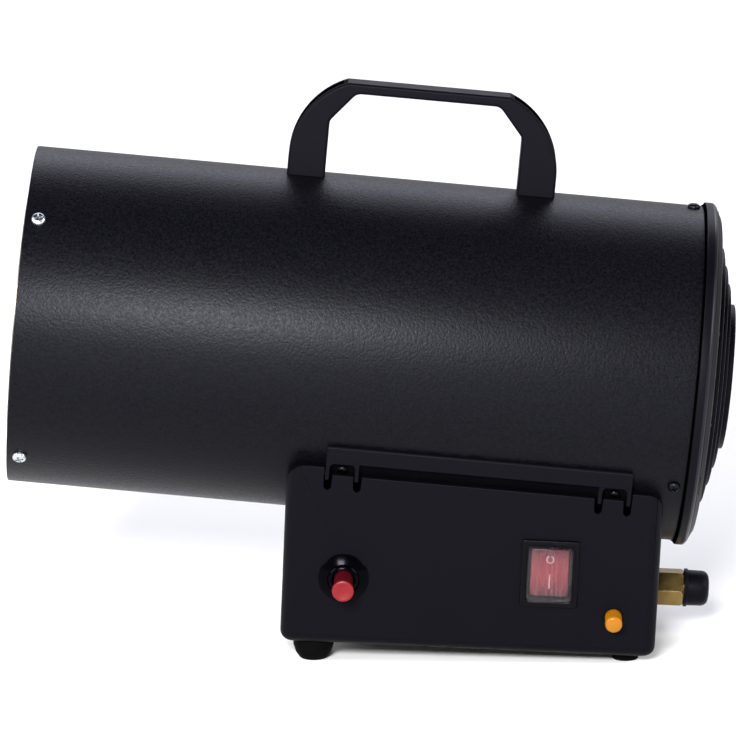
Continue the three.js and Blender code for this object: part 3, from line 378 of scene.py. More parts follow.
def extruded(points, along):  # points lie on one plane; along is the way and the depth
    bm = bmesh.new()
    face = bm.faces.new([bm.verts.new(p) for p in points])
    grown = bmesh.ops.extrude_face_region(bm, geom=[face])
    farSide = [v for v in grown["geom"] if isinstance(v, bmesh.types.BMVert)]
    bmesh.ops.translate(bm, verts=farSide, vec=along)
    bmesh.ops.recalc_face_normals(bm, faces=bm.faces)
    return bm


def block(x0, x1, y0, y1, z0, z1):
    bm = bmesh.new()
    bmesh.ops.create_cube(bm, size=1)
    bmesh.ops.scale(bm, verts=bm.verts, vec=(x1 - x0, y1 - y0, z1 - z0))
    bmesh.ops.translate(bm, verts=bm.verts, vec=((x0 + x1) / 2, (y0 + y1) / 2, (z0 + z1) / 2))
    return bm


def cylinder(radius, x0, x1, steps=64):
    bm = bmesh.new()
    bmesh.ops.create_cone(bm, cap_ends=True, radius1=radius, radius2=radius, depth=x1 - x0, segments=steps)
    bmesh.ops.rotate(bm, verts=bm.verts, matrix=Matrix.Rotation(pi / 2, 3, "Y"))
    bmesh.ops.translate(bm, verts=bm.verts, vec=((x0 + x1) / 2, 0, 0))
    return bm


def moved(bm, matrix):
    bmesh.ops.transform(bm, matrix=matrix, verts=bm.verts)
    return bm


def sharpEdges(bm, angle):
    return [e for e in bm.edges if len(e.link_faces) == 2 and e.calc_face_angle(0) > radians(angle)]


def bevelled(bm, width, segments=2, angle=30, edges=None, clamp=True):
    bmesh.ops.bevel(
        bm, geom=sharpEdges(bm, angle) if edges is None else edges, offset=width, segments=segments,
        profile=0.5, affect="EDGES", material=-1, clamp_overlap=clamp,
    )
    return bm


def merged(target, *others):  # adds separate shells to one mesh
    for other in others:
        mesh = bpy.data.meshes.new("work")
        other.to_mesh(mesh)
        other.free()
        target.from_mesh(mesh)
        bpy.data.meshes.remove(mesh)
    return target


def copied(bm, matrix):
    return moved(bm.copy(), matrix)


def combined(bm, tool, operation="DIFFERENCE"):  # an exact boolean; both bmeshes are used up
    pair = []
    for part in (bm, tool):
        mesh = bpy.data.meshes.new("work")
        part.to_mesh(mesh)
        part.free()
        pair.append(bpy.data.objects.new("work", mesh))
        bpy.context.scene.collection.objects.link(pair[-1])
    change = pair[0].modifiers.new("change", "BOOLEAN")
    change.operation, change.object, change.solver = operation, pair[1], "EXACT"
    result = bmesh.new()
    result.from_object(pair[0], bpy.context.evaluated_depsgraph_get())
    for obj in pair:
        mesh = obj.data
        bpy.data.objects.remove(obj)
        bpy.data.meshes.remove(mesh)
    return result


def arc(center, radius, start, end, steps):  # points on a circle, angles in degrees
    turns = [radians(start + (end - start) * i / steps) for i in range(steps + 1)]
    return [(center[0] + radius * cos(t), center[1] + radius * sin(t)) for t in turns]


def rounded(corners, steps=6):  # an outline from (a, b, corner radius) triples
    points = []
    for i, (a, b, radius) in enumerate(corners):
        here = Vector((a, b))
        if radius == 0:
            points.append((a, b))
            continue
        back = (Vector(corners[i - 1][:2]) - here).normalized()
        ahead = (Vector(corners[(i + 1) % len(corners)][:2]) - here).normalized()
        half = back.angle(ahead) / 2
        middle = here + (back + ahead).normalized() * (radius / sin(half))
        first = here + back * (radius / tan(half)) - middle
        last = here + ahead * (radius / tan(half)) - middle
        start = atan2(first.y, first.x)
        sweep = (atan2(last.y, last.x) - start + pi) % (2 * pi) - pi
        points += [
            (middle.x + radius * cos(start + sweep * k / steps), middle.y + radius * sin(start + sweep * k / steps))
            for k in range(steps + 1)
        ]
    return points


def acrossY(points, y0, y1):  # an X-Z outline made solid from y0 to y1
    return extruded([(x, y0, z) for x, z in points], (0, y1 - y0, 0))


def alongX(points, x0, x1):  # a Y-Z outline made solid from x0 to x1
    return extruded([(x0, y, z) for y, z in points], (x1 - x0, 0, 0))


def upright(bm):  # turns a piece spun about X so that it stands along Z
    return moved(bm, Matrix.Rotation(-pi / 2, 4, "Y"))


def finished(name, bm, material, place, stands=(), body="housing", crease=32, even=False):
    moved(bm, place @ Matrix.Scale(mm, 4))
    mesh = bpy.data.meshes.new(name)
    bm.to_mesh(mesh)
    bm.free()
    mesh.shade_smooth()
    mesh.set_sharp_from_angle(angle=radians(crease))
    mesh.materials.append(material)
    piece = bpy.data.objects.new(name, mesh)
    bpy.context.scene.collection.objects.link(piece)
    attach(piece, body)
    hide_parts(*stands)
    if even:  # large flats keep an even shade beside their rounded edges
        normals = piece.modifiers.new("evenNormals", "WEIGHTED_NORMAL")
        normals.keep_sharp = True
        normals.weight = 100
    return piece


def aroundDrum(angle):  # turns a piece that points up to an angle from the top towards the front
    return Matrix.Rotation(radians(angle), 4, "X")


# ---- drum casing: rolled sheet, its outlet edge folded in
drumCasing = {"radius": 95.0, "wall": 1.2, "length": 384.5, "hem": 3.5, "fold": 1.0, "edge": 0.45, "steps": 192}


def makeDrum():
    d = drumCasing
    inner = d["radius"] - d["wall"]
    profile = [
        (0, d["radius"]), (d["length"], d["radius"]), (d["length"], inner),
        (d["hem"], inner), (d["hem"], inner - d["fold"]), (0, inner - d["fold"]),
    ]
    bm = bevelled(spun(profile, d["steps"]), d["edge"], 3)
    return finished("drumCasing", bm, blackCoat, onDrum, ["drum_casing"])


makeDrum()

# ---- combustion chamber with its flared lip, and the spacer that holds it off the drum
chamber = {"radius": 75.0, "length": 205.0, "wall": 1.0, "lip": 77.0, "lipFrom": 4.0, "proud": 1.5, "steps": 160}
spacer = {
    "thick": 1.2, "from": 6.0, "to": 18.0, "width": 12.0, "web": 1.5, "footFrom": 4.0, "play": (0.3, 0.7),
    "angles": (45, 135, 225, 315), "steps": 160,
}


def makeChamber():
    c = chamber
    inner = c["radius"] - c["wall"]
    profile = [
        (c["lipFrom"], c["radius"]), (c["length"], c["radius"]), (c["length"], inner), (c["lipFrom"] - 0.4, inner),
        (-c["proud"], c["lip"] - c["wall"]), (-c["proud"], c["lip"]),
    ]
    bm = bevelled(spun(profile, c["steps"]), 0.35, 2, 20)
    return finished("combustionChamber", bm, heatedSteel, onDrum, ["combustion_chamber"])


def makeSpacer():
    s = spacer
    inPlay, outPlay = s["play"]
    low = chamber["radius"] + inPlay
    high = low + s["thick"]
    top = drumCasing["radius"] - drumCasing["wall"] - outPlay
    band = spun([(s["from"], low), (s["to"], low), (s["to"], high), (s["from"], high)], s["steps"])
    bm = bevelled(band, 0.25, 2)
    half = s["width"] / 2
    for angle in s["angles"]:
        web = block(s["to"] - s["web"], s["to"], -half, half, high - inPlay, top)
        foot = block(s["footFrom"], s["to"], -half, half, top - s["thick"], top)
        strut = merged(bevelled(web, 0.3), bevelled(foot, 0.3))
        merged(bm, moved(strut, aroundDrum(angle)))
    return finished("chamberSpacer", bm, zincSheet, onDrum, ["chamber_spacer"])


makeChamber()
makeSpacer()
print("drum and chamber ready")

# ---- screws: pan heads with a crossed recess
drumScrews = {
    "outlet": (4.0, 2.6, 2.0, 4), "grille": (3.5, 2.3, 2.0, 4), "saddle": (3.2, 2.2, 1.8, 4),  # head, height, shank
    "outletX": 7.5, "grilleX": 371.5, "saddleX": (187.3, 338.95), "saddleOut": 97.5,
    "grilleAngles": (0, 120, 240), "saddleAngles": (124.5, 235.5), "turn": 20, "steps": 40,
}


def screwHead(radius, height, shank, length):  # the head stands up from z = 0
    rise = [(-length, 0), (-length, shank), (0, shank), (0, radius), (0.25 * height, radius)]
    dome = [
        (0.25 * height + 0.75 * height * sin(radians(a)), 0.45 * radius + 0.55 * radius * cos(radians(a)))
        for a in (20, 45, 70, 90)
    ]
    bm = spun(rise + dome + [(height, 0)], drumScrews["steps"], closed=False)
    long, thin = 0.62 * radius, 0.13 * radius
    for turn in (0, 90):
        slot = block(height * 0.45, height + 1, -long, long, -thin, thin)
        bm = combined(bm, moved(slot, Matrix.Rotation(radians(turn + drumScrews["turn"]), 4, "X")))
    return upright(bm)


def placeScrews(kind, material, seats):
    head = screwHead(*drumScrews[kind])
    for i, place in enumerate(seats, 1):
        finished(f"{kind}Screw{i}", head.copy(), material, place, [f"{kind}_screw_{i}"])
    head.free()


def drumScrewSeat(x, angle, radius):
    out = aroundDrum(angle) @ Matrix.Translation(Vector((x, 0, radius)) * mm)
    return onDrum @ out


onSkin = drumCasing["radius"] + 0.15
placeScrews(
    "outlet", zinc,
    [drumScrewSeat(drumScrews["outletX"], angle, onSkin) for angle in spacer["angles"]],
)
placeScrews(
    "grille", blackened,
    [drumScrewSeat(drumScrews["grilleX"], angle, onSkin) for angle in drumScrews["grilleAngles"]],
)
placeScrews(
    "saddle", blackened,
    [
        drumScrewSeat(x, angle, drumScrews["saddleOut"])
        for x in drumScrews["saddleX"] for angle in drumScrews["saddleAngles"]
    ],
)
print("screws ready")

# ---- rear grille: a cap ring, and stepped rings on ribs that dome out over the fan
grille = {
    "inner": 87.5, "behind": 387.4, "play": 0.3,
    "rim": (  # along the drum, radius
        (376.9, 95.3), (376.9, 95.7), (378.2, 95.8), (378.3, 96.9), (378.7, 97.2), (382.4, 97.2), (383.2, 97.0),
        (383.9, 96.4), (384.6, 95.3), (386.9, 90.8), (387.4, 90.0), (387.6, 89.2), (387.5, 88.4),
    ),
    "rings": (  # radius, rear face, depth
        (82.5, 388.2, 4.5), (72.5, 391.2, 4.5), (62.5, 394.0, 5.0),
        (52.5, 396.6, 5.0), (41.0, 400.5, 7.0), (28.0, 400.5, 6.0),
    ),
    "thick": 3.2, "ringRound": 0.8, "hub": (11.0, 394, 400.5), "ribs": 9, "ribHalf": 1,
    "ribLine": ((383.8, 88.5), (395.2, 38), (395.2, 9), (397.4, 9), (397.4, 38), (385.8, 88.5)),
    "tab": (365, 386, -7, 7, 91.0, 93.2), "steps": 160,
    "seam": (378.4, 96.7), "polished": (382.4, 384.7, 94),
}


def makeGrille():
    g = grille
    seat = drumCasing["radius"] + g["play"]
    end = drumCasing["length"] + g["play"]
    bm = spun([*g["rim"], (g["behind"], g["inner"]), (end, g["inner"]), (end, seat)], g["steps"])
    seamEnd, seamRadius = g["seam"]
    start, stop, reach = g["polished"]
    for face in bm.faces:  # painted shadow: the seam against the drum gets a dead-black plastic for the shade of the gap there; the rear edge comes off the tool polished
        at = face.calc_center_median()
        out = hypot(at.y, at.z)
        if at.x < seamEnd and out < seamRadius:
            face.material_index = 1
        elif start < at.x < stop and out > reach:
            face.material_index = 2
    for radius, rear, depth in g["rings"]:
        inner, fore = radius - g["thick"], rear - depth
        ring = spun([(fore, inner), (fore, radius), (rear, radius), (rear, inner)], g["steps"])
        merged(bm, bevelled(ring, g["ringRound"], 3))
    merged(bm, bevelled(cylinder(*g["hub"]), g["ringRound"], 3))
    for i in range(g["ribs"]):
        rib = bevelled(acrossY(g["ribLine"], -g["ribHalf"], g["ribHalf"]), 0.3)
        merged(bm, moved(rib, aroundDrum(360 * (i + 0.5) / g["ribs"])))
    for angle in drumScrews["grilleAngles"]:
        merged(bm, moved(bevelled(block(*g["tab"]), 0.3), aroundDrum(angle)))
    piece = finished("rearGrille", bm, grillePlastic, onDrum, ["rear_grille"])
    piece.data.materials.append(paintedShadow)
    piece.data.materials.append(polishedEdge)
    return piece


makeGrille()
print("grille ready")

# ---- carrying handle: a moulded arch whose legs carry a channel on their outside
handle = {
    "middle": 217.0, "outer": 75.5, "inner": 54.1, "arc": 46.8, "arcHeight": 106.0, "top": 149.6, "underside": 143.5,
    "shoulder": 127.1, "grip": 40.3, "innerRounds": (5, 6),
    "width": 18.0, "round": 1.7, "groove": 14.0, "grooveDepth": 5.0, "grooveFrom": 100.0, "foot": 80, "lip": 0.25,
}


def makeHandle():
    h = handle
    middle = h["outer"] - h["arc"]
    meets = asin((h["top"] - h["arcHeight"]) / h["arc"]) * 180 / pi
    rightArc = arc((middle, h["arcHeight"]), h["arc"], 0, meets, 20)
    leftArc = [(-x, z) for x, z in reversed(rightArc)]
    low, high = h["innerRounds"]
    leftSide = [(-h["inner"], h["foot"], 0), (-h["inner"], h["shoulder"], low), (-h["grip"], h["underside"], high)]
    opening = rounded(leftSide + [(-x, z, radius) for x, z, radius in reversed(leftSide)])
    outline = [(h["outer"], h["foot"]), *rightArc, *leftArc, (-h["outer"], h["foot"]), *opening]
    half = h["width"] / 2
    bm = acrossY(outline, -half, half)
    rims = [e for e in sharpEdges(bm, 60) if abs(e.verts[0].co.y - e.verts[1].co.y) < 0.01]
    bevelled(bm, h["round"], 4, edges=rims)
    for way in (1, -1):
        reach = h["arc"] - h["grooveDepth"]
        floor = arc((middle, h["arcHeight"]), reach, 0, meets - 3.5, 16)
        channel = [(h["outer"] + 5, h["grooveFrom"]), (h["outer"] - h["grooveDepth"], h["grooveFrom"]), *floor]
        channel += [(45.2, h["top"] + 10), (h["outer"] + 5, h["top"] + 10)]  # past the skin, so that it cuts through
        tool = acrossY([(way * x, z) for x, z in channel], -h["groove"] / 2, h["groove"] / 2)
        bm = combined(bm, tool)
    bm = combined(bm, cylinder(onSkin, -120, 120, 160))
    lips = [e for e in sharpEdges(bm, 55) if e.calc_length() > 0.3]
    bevelled(bm, h["lip"], 2, edges=lips, clamp=False)
    for face in bm.faces:  # painted shade: the channel's faces get a dead-black plastic for the shade inside it
        at = face.calc_center_median()
        depth = h["arc"] - hypot(abs(at.x) - middle, max(at.z - h["arcHeight"], 0))
        if abs(at.y) < h["groove"] / 2 + 0.05 and at.z > h["grooveFrom"] - 1 and 0.5 < depth < h["grooveDepth"] + 0.6:
            face.material_index = 1
    moved(bm, Matrix.Translation((h["middle"], 0, 0)))
    piece = finished("carryHandle", bm, handlePlastic, onDrum, ["carry_handle"], even=True)
    piece.data.materials.append(paintedShadow)
    return piece


makeHandle()
print("handle ready")

# ---- drum saddle: a cradle under the drum, with a lip and two forks on each panel
saddle = {
    "from": 178.0, "to": 348.1, "inner": 95.3, "outer": 97.3, "halfAngle": 60.8, "edge": 0.3,
    "forks": ((178.0, 196.6), (329.8, 348.1)), "prong": 2.2, "prongEnd": -60.6, "prongTop": -45, "prongEdge": 0.35,
    "notchTop": -51.0, "notchRound": 2.6, "proud": 0.2, "sunk": 1.9, "lipEdge": 0.45,
    "lip": ((-85.2, -43.4), (-86.1, -41.2), (-87.6, -40.9), (-88.4, -42.0), (-87.7, -50.6), (-82.6, -50.6)),
}


def panelSlab(outside, inside):  # the front panel's plane as a slab, in the drum's frame
    def across(height):
        return -(footprint / 2 + height * undercut)

    outer = [(across(height) - outside, height) for height in (0, 120)]
    inner = [(across(height) + inside, height) for height in (120, 0)]
    return moved(alongX(outer + inner, -105, 105), drumInBox.inverted())


def makeSaddle():
    s = saddle
    first, last = -90 - s["halfAngle"], -90 + s["halfAngle"]
    arch = arc((0, 0), s["outer"], first, last, 64) + arc((0, 0), s["inner"], last, first, 64)
    bm = bevelled(alongX(arch, s["from"], s["to"]), s["edge"])
    front = bevelled(alongX(s["lip"], s["from"], s["to"]), s["lipEdge"], 3)
    prong, top, end, start, curve = s["prong"], s["notchTop"], s["prongEnd"], s["prongTop"], s["notchRound"]
    for left, right in s["forks"]:
        shape = rounded(
            [
                (left, start, 0), (left, end, 1), (left + prong, end, 1), (left + prong, top, curve),
                (right - prong, top, curve), (right - prong, end, 1), (right, end, 1), (right, start, 0),
            ]
        )
        plate = combined(acrossY(shape, -95, -75), panelSlab(s["proud"], s["sunk"]), "INTERSECT")
        merged(front, bevelled(plate, s["prongEdge"], 2, 40))
    rear = copied(front, Matrix.Scale(-1, 4, (0, 1, 0)))
    bmesh.ops.recalc_face_normals(rear, faces=rear.faces)
    merged(bm, front, rear)
    return finished("drumSaddle", bm, blackPlastic, onDrum, ["drum_saddle"], even=True)


makeSaddle()
print("saddle ready")

# ---- control box: a tapered body, cut along the middle into a front and a rear shell
controlBox = {
    "length": 210.0, "height": 125, "wall": 2.5, "corner": 7.0, "bottomRound": 6.0, "topCorners": (11.0, 9.0),
    "innerRounds": (4.5, 3.5), "innerTopCorners": (8, 6), "edge": 0.7,
    "ledge": -53.2, "seat": -57.4, "seatPlay": 0.3, "drumRoom": 96.2, "saddleRoom": 98.5,
    "slot": 4.2, "slotEnd": -66.3, "play": (0.3, 1.3),
    "switchHole": (27.8, 34.8), "valveHole": 5.2, "inletHole": 6.9, "inletAt": (0, 22.9), "bushHole": 7.0,
    "bushAt": (46.0, 30.0),
    "vents": 6, "ventPitch": 12, "ventFrom": -30, "vent": (1.5, 28, 58, 1.4),
    "screwPaths": (-92, 52), "screwPath": 4.1, "screwHeight": 11,
}


def boxBody(offset, corner, bottomRound):
    half, depth = controlBox["length"] / 2 - offset, footprint / 2 - offset
    bm = block(-half, half, -depth, depth, offset, controlBox["height"])
    for v in bm.verts:
        v.co.y *= 1 + v.co.z * undercut / (footprint / 2)
    standing = [e for e in bm.edges if abs(e.verts[0].co.z - e.verts[1].co.z) > 1]
    bevelled(bm, corner, 6, edges=standing)
    under = [e for e in bm.edges if max(v.co.z for v in e.verts) < offset + 0.01]
    return bevelled(bm, bottomRound, 5, edges=under)


def boxTop(offset, corners):  # the side view that trims the body: its top runs along the drum
    low, high = [drumInBox @ Vector((x, 0, controlBox["ledge"])) for x in (0, 400)]
    half = controlBox["length"] / 2 - offset

    def top(u):
        return low.z + (u - low.x) * (high.z - low.z) / (high.x - low.x) - offset

    outline = [(-half, -5, 0), (half, -5, 0), (half, top(half), corners[1]), (-half, top(-half), corners[0])]
    return acrossY(rounded(outline, 8), -110, 110)


def seatRoom(drop, margin):
    c = controlBox
    return moved(block(saddle["from"] - margin, saddle["to"] + margin, -120, 120, c["seat"] - drop, 0), drumInBox)


def panelHole(u, height, tool):
    y = -(footprint / 2 + height * undercut)
    return moved(tool, Matrix.Translation((u, y, height)) @ Matrix.Rotation(radians(90 + panelLean), 4, "X"))


def forkSlot(x):  # a pointed slot in a panel's top edge, drawn in the drum's frame
    width, low = controlBox["slot"], controlBox["slotEnd"]
    left = [(x, -40, 0), (x, low + 1.2, 1)]
    return rounded([*left, (x + width / 2, low - 0.5, 0.8), (x + width, low + 1.2, 1), (x + width, -40, 0)])


def roundHole(radius, side, height):  # through the end wall on the grille's side
    return moved(cylinder(radius, 90, 120), Matrix.Translation((0, side, height)))


def makeShells():
    c = controlBox
    bm = combined(boxBody(0, c["corner"], c["bottomRound"]), boxTop(0, c["topCorners"]), "INTERSECT")
    bm = combined(bm, seatRoom(0, c["seatPlay"]))
    for (left, right), play in zip(saddle["forks"], c["play"]):
        for prong in (left, right - saddle["prong"]):
            slot = forkSlot(prong - play)
            bm = combined(bm, moved(acrossY(slot, -120, -78), drumInBox))
            bm = combined(bm, moved(acrossY(slot, 78, 120), drumInBox))
    width, height = c["switchHole"]
    bm = combined(bm, panelHole(*switch["at"], block(-width / 2, width / 2, -height / 2, height / 2, -12, 12)))
    bm = combined(bm, panelHole(*igniter["at"], upright(cylinder(igniter["bore"], -12, 12))))
    bm = combined(bm, panelHole(*valve["at"], upright(cylinder(c["valveHole"], -12, 12, 48))))
    bm = combined(bm, roundHole(c["inletHole"], *c["inletAt"]))
    bm = combined(bm, roundHole(c["bushHole"], *c["bushAt"]))
    half, low, high, corner = c["vent"]
    vent = rounded([(-half, low, corner), (half, low, corner), (half, high, corner), (-half, high, corner)], 5)
    for i in range(c["vents"]):
        place = Matrix.Translation((c["ventPitch"] * i + c["ventFrom"], 0, 0))
        bm = combined(bm, moved(acrossY(vent, 60, 110), place))
    for u in c["screwPaths"]:
        place = Matrix.Translation((u, 0, c["screwHeight"])) @ Matrix.Rotation(pi / 2, 4, "Z")
        bm = combined(bm, moved(cylinder(c["screwPath"], 12, 100, 40), place))
    bm = combined(bm, moved(cylinder(c["drumRoom"], 60, 480, 192), drumInBox))
    start, end = saddle["from"] - c["seatPlay"], saddle["to"] + c["seatPlay"]
    bm = combined(bm, moved(cylinder(c["saddleRoom"], start, end, 192), drumInBox))
    hollow = combined(boxBody(c["wall"], *c["innerRounds"]), boxTop(c["wall"], c["innerTopCorners"]), "INTERSECT")
    hollow = combined(hollow, seatRoom(c["wall"], c["wall"] + c["seatPlay"]))
    bm = combined(bm, hollow)
    bmesh.ops.dissolve_limit(bm, angle_limit=radians(0.3), verts=bm.verts, edges=bm.edges)
    long = [e for e in sharpEdges(bm, 40) if e.calc_length() > 0.5]
    bevelled(bm, c["edge"], 3, edges=long, clamp=False)
    for way, name, node in ((1, "frontShell", "front_shell"), (-1, "rearShell", "rear_shell")):
        shell = bm.copy()
        everything = shell.verts[:] + shell.edges[:] + shell.faces[:]
        cut = bmesh.ops.bisect_plane(
            shell, geom=everything, plane_co=(0, -0.15 * way, 0), plane_no=(0, way, 0), clear_outer=True
        )
        rim = [e for e in cut["geom_cut"] if isinstance(e, bmesh.types.BMEdge)]
        bmesh.ops.holes_fill(shell, edges=rim, sides=0)
        finished(name, shell, blackPlastic, onBox, [node], even=True)
    bm.free()


# ---- fan switch: a frame in the panel, a ribbed red rocker with its two marks, and a clear splash cover
switch = {
    "at": (43.7, 47.8), "frame": (32.2, 39.4, 1.9), "rim": (27.2, 33.4, 3.0), "rimHole": (25.4, 31.6),
    "well": (22.4, 30.4), "wellFloor": -14, "body": (27.0, 34.0, -24, 0.3),
    "rocker": 21.2, "pivot": -5.5, "rest": -8.0, "ends": 8.0, "valley": 6.6, "reach": 13.4,
    "belly": ((11, -4), (3, -9), (-3, -9), (-11, -4)),
    "ribs": 7, "ribPitch": 2.4, "ribHalf": 0.55, "ribSpan": (4.4, 1.2),
    "offMark": (7.4, 1.6, 2.3), "onMark": (-5.6, 0.7, 9.0), "sunk": 0.2, "proud": 0.25,
    "cover": (25.0, 31.4), "coverFrom": 2.2, "coverTo": 7.4, "coverWall": 0.9,
}


def roundedBlock(width, height, z0, z1, corner):
    half, rise = width / 2, height / 2
    points = rounded([(-half, -rise, corner), (half, -rise, corner), (half, rise, corner), (-half, rise, corner)])
    return extruded([(x, y, z0) for x, y in points], (0, 0, z1 - z0))


def topEdges(bm, height):  # the rim of a roundedBlock's upper face
    return [e for e in sharpEdges(bm, 50) if min(v.co.z for v in e.verts) > height - 0.01]


def makeSwitch():
    s = switch
    place = panelPlace(*s["at"])
    width, height, proud = s["frame"]
    frame = roundedBlock(width, height, 0.02, proud, 1.6)
    bevelled(frame, 0.8, 4, edges=topEdges(frame, proud))
    frame = combined(frame, roundedBlock(*s["well"], -1, proud + 1, 1.0))
    width, height, proud = s["rim"]
    rim = roundedBlock(width, height, 1.0, proud, 1.6)
    rim = combined(rim, roundedBlock(*s["rimHole"], 0, 6, 1.2))
    body = combined(roundedBlock(*s["body"], 1.0), roundedBlock(*s["well"], s["wellFloor"], 2, 1.0))
    merged(frame, bevelled(rim, 0.3, 3, 50, clamp=False), body)
    finished("switchFrame", frame, switchPlastic, place, ["switch_housing"], even=True)

    half, reach, end, valley = s["rocker"] / 2, s["reach"], s["ends"], s["valley"]
    profile = [(-reach, end), (0, valley), (reach, end), *s["belly"]]
    rocker = bevelled(alongX(profile, -half, half), 0.7, 4, 15)
    ribHalf, (inset, outset) = s["ribHalf"], s["ribSpan"]
    for side in (-1, 1):
        for i in range(s["ribs"]):
            x = s["ribPitch"] * (i - (s["ribs"] - 1) / 2)
            rib = block(x - ribHalf, x + ribHalf, reach - inset, reach - outset, end - 1.6, end + 0.15)
            if side < 0:
                moved(rib, Matrix.Rotation(pi, 4, "Z"))
            merged(rocker, bevelled(rib, 0.3))
    tilt = place @ Matrix.Translation(Vector((0, 0, s["pivot"])) * mm) @ Matrix.Rotation(radians(s["rest"]), 4, "X")
    finished("switchRocker", rocker, rockerPlastic, tilt, ["switch_rocker"], "rocker")

    slope = atan2(end - valley, reach)
    low, high = -s["sunk"], s["proud"]
    y, inner, outer = s["offMark"]
    off = upright(spun([(low, inner), (high, inner), (high, outer), (low, outer)], 48))
    moved(off, Matrix.Translation((0, y, valley + y * tan(slope))) @ Matrix.Rotation(slope, 4, "X"))
    y, width, height = s["onMark"]
    on = roundedBlock(width, height, low, high, 0.3)
    moved(on, Matrix.Translation((0, y, valley - y * tan(slope))) @ Matrix.Rotation(-slope, 4, "X"))
    finished("switchMarks", merged(off, on), markPaint, tilt, [], "rocker")

    width, height = s["cover"]
    low, high, wall = s["coverFrom"], s["coverTo"], s["coverWall"]
    cover = roundedBlock(width, height, low, high, 2.6)
    bevelled(cover, 1.8, 5, edges=topEdges(cover, high))
    inside = roundedBlock(width - 2 * wall, height - 2 * wall, low - 1, high - wall, 1.8)
    bevelled(inside, 1.1, 4, edges=topEdges(inside, high - wall))
    cover = combined(cover, inside)
    finished("switchCover", cover, clearCover, place, ["switch_cap"], even=True)


# ---- return springs: a wound coil behind each button
def makeSpring(name, place, coil, node):
    bm = bmesh.new()
    bmesh.ops.create_circle(bm, radius=coil["wire"], segments=10)
    stand = Matrix.Translation((coil["radius"], 0, coil["from"])) @ Matrix.Rotation(pi / 2, 4, "X")
    moved(bm, stand)
    steps = coil["turns"] * 24
    rise = (coil["to"] - coil["from"]) / steps
    bmesh.ops.spin(
        bm, geom=bm.verts[:] + bm.edges[:], cent=(0, 0, 0), axis=(0, 0, 1), dvec=(0, 0, rise),
        angle=2 * pi * coil["turns"], steps=steps,
    )
    bmesh.ops.holes_fill(bm, edges=[e for e in bm.edges if e.is_boundary], sides=0)
    bmesh.ops.recalc_face_normals(bm, faces=bm.faces)
    piece = finished(name, bm, zinc, place, [node])
    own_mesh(piece)


# ---- igniter: a glossy domed collar round the piezo's nose, and a long red button
igniter = {
    "at": (-70.8, 39.6), "bore": 8.9, "collar": 14.1, "body": 8.4, "bodyEnd": -44, "nose": 8.6, "noseBore": 6.4,
    "stem": 5.3, "stemFrom": -14, "head": 6.15, "length": 22.4,
    "spring": {"radius": 3.9, "turns": 5, "wire": 0.45, "from": -25.3, "to": -15.7, "socket": -26, "travel": 6.0},
}


def makeIgniter():
    g = igniter
    place = panelPlace(*g["at"])
    bore, collar = g["bore"], g["collar"]
    ring = [(0.05, bore), (0.05, collar), (0.5, collar), (0.95, collar - 0.5), (2.95, bore + 0.1), (2.8, bore)]
    finished("igniterCollar", upright(spun(ring, 96)), glossBlack, place, ["igniter_collar"])
    start, floor, bore = g["bodyEnd"], g["spring"]["socket"], g["noseBore"]
    nose = [
        (start, 0), (start, g["body"]), (2.8, g["nose"]), (3.0, g["nose"] - 0.1), (4.1, 6.9), (4.15, 6.6),
        (3.9, bore), (floor, bore), (floor, 0),
    ]
    piece = upright(spun(nose, 96, closed=False))
    finished("piezoIgniter", piece, glossBlack, place, ["piezo_igniter"])
    start, end, stem, head = g["stemFrom"], g["length"], g["stem"], g["head"]
    button = [
        (start, 0), (start, stem), (end - 9, stem), (end - 1.6, head - 0.25), (end - 1.4, head),
        (end - 0.3, head - 0.25), (end, head - 0.8), (end, head - 1.5), (end - 0.35, head - 2.1), (end - 0.35, 0),
    ]
    pin = spun(button, 80, closed=False)
    for face in pin.faces:  # painted shade: the pin below its bright cap is drawn in a darker red for the shade on it
        if face.calc_center_median().x < end - 1.5:
            face.material_index = 1
    pin = upright(pin)
    piece = finished("igniterButton", pin, redPlastic, place, ["igniter_button"], "igniter_pusher")
    piece.data.materials.append(shadedStemRed)
    makeSpring("igniterSpring", place, g["spring"], "igniter_spring")


# ---- gas valve button: a short yellow pin with a domed end
valve = {
    "at": (80.6, 23.1), "radius": 4.75, "length": 11.7, "flange": 6.1, "flangeFrom": -10, "flangeTo": -8.5,
    "spring": {"radius": 4.4, "turns": 4, "wire": 0.45, "from": -19.3, "to": -10.7, "socket": -20, "travel": 5.0},
}


def makeValveButton():
    v = valve
    start, step, end, radius, flange = v["flangeFrom"], v["flangeTo"], v["length"], v["radius"], v["flange"]
    crown = [(end - 1.5 + 1.5 * sin(radians(a)), radius - 2.2 + 2.2 * cos(radians(a))) for a in (0, 20, 40, 60, 80)]
    pin = [(start, 0), (start, flange), (step, flange), (step, radius), *crown, (end, 0)]
    place = panelPlace(*v["at"])
    piece = upright(spun(pin, 72, closed=False))
    finished("valveButton", piece, yellowPlastic, place, ["valve_button"], "gas_valve_pusher")
    makeSpring("valveSpring", place, v["spring"], "valve_spring")


makeShells()
makeSwitch()
makeIgniter()
makeValveButton()
print("control box ready")

# ---- gas inlet: a brass hexagon with its nipple, under a soft dust cap
inlet = {
    "hexFrom": 105.3, "hexTo": 122.5, "corner": 11.0, "shank": 6.2, "shankFrom": 88, "shankTo": 107,
    "nipple": 7.6, "end": 133.0, "bore": 3.2, "boreFrom": 110,
    "capFrom": 122.9, "cap": 10.15, "capLip": 10.9, "capEnd": 137.2, "capWall": 1.2, "capBore": 8.0,
}


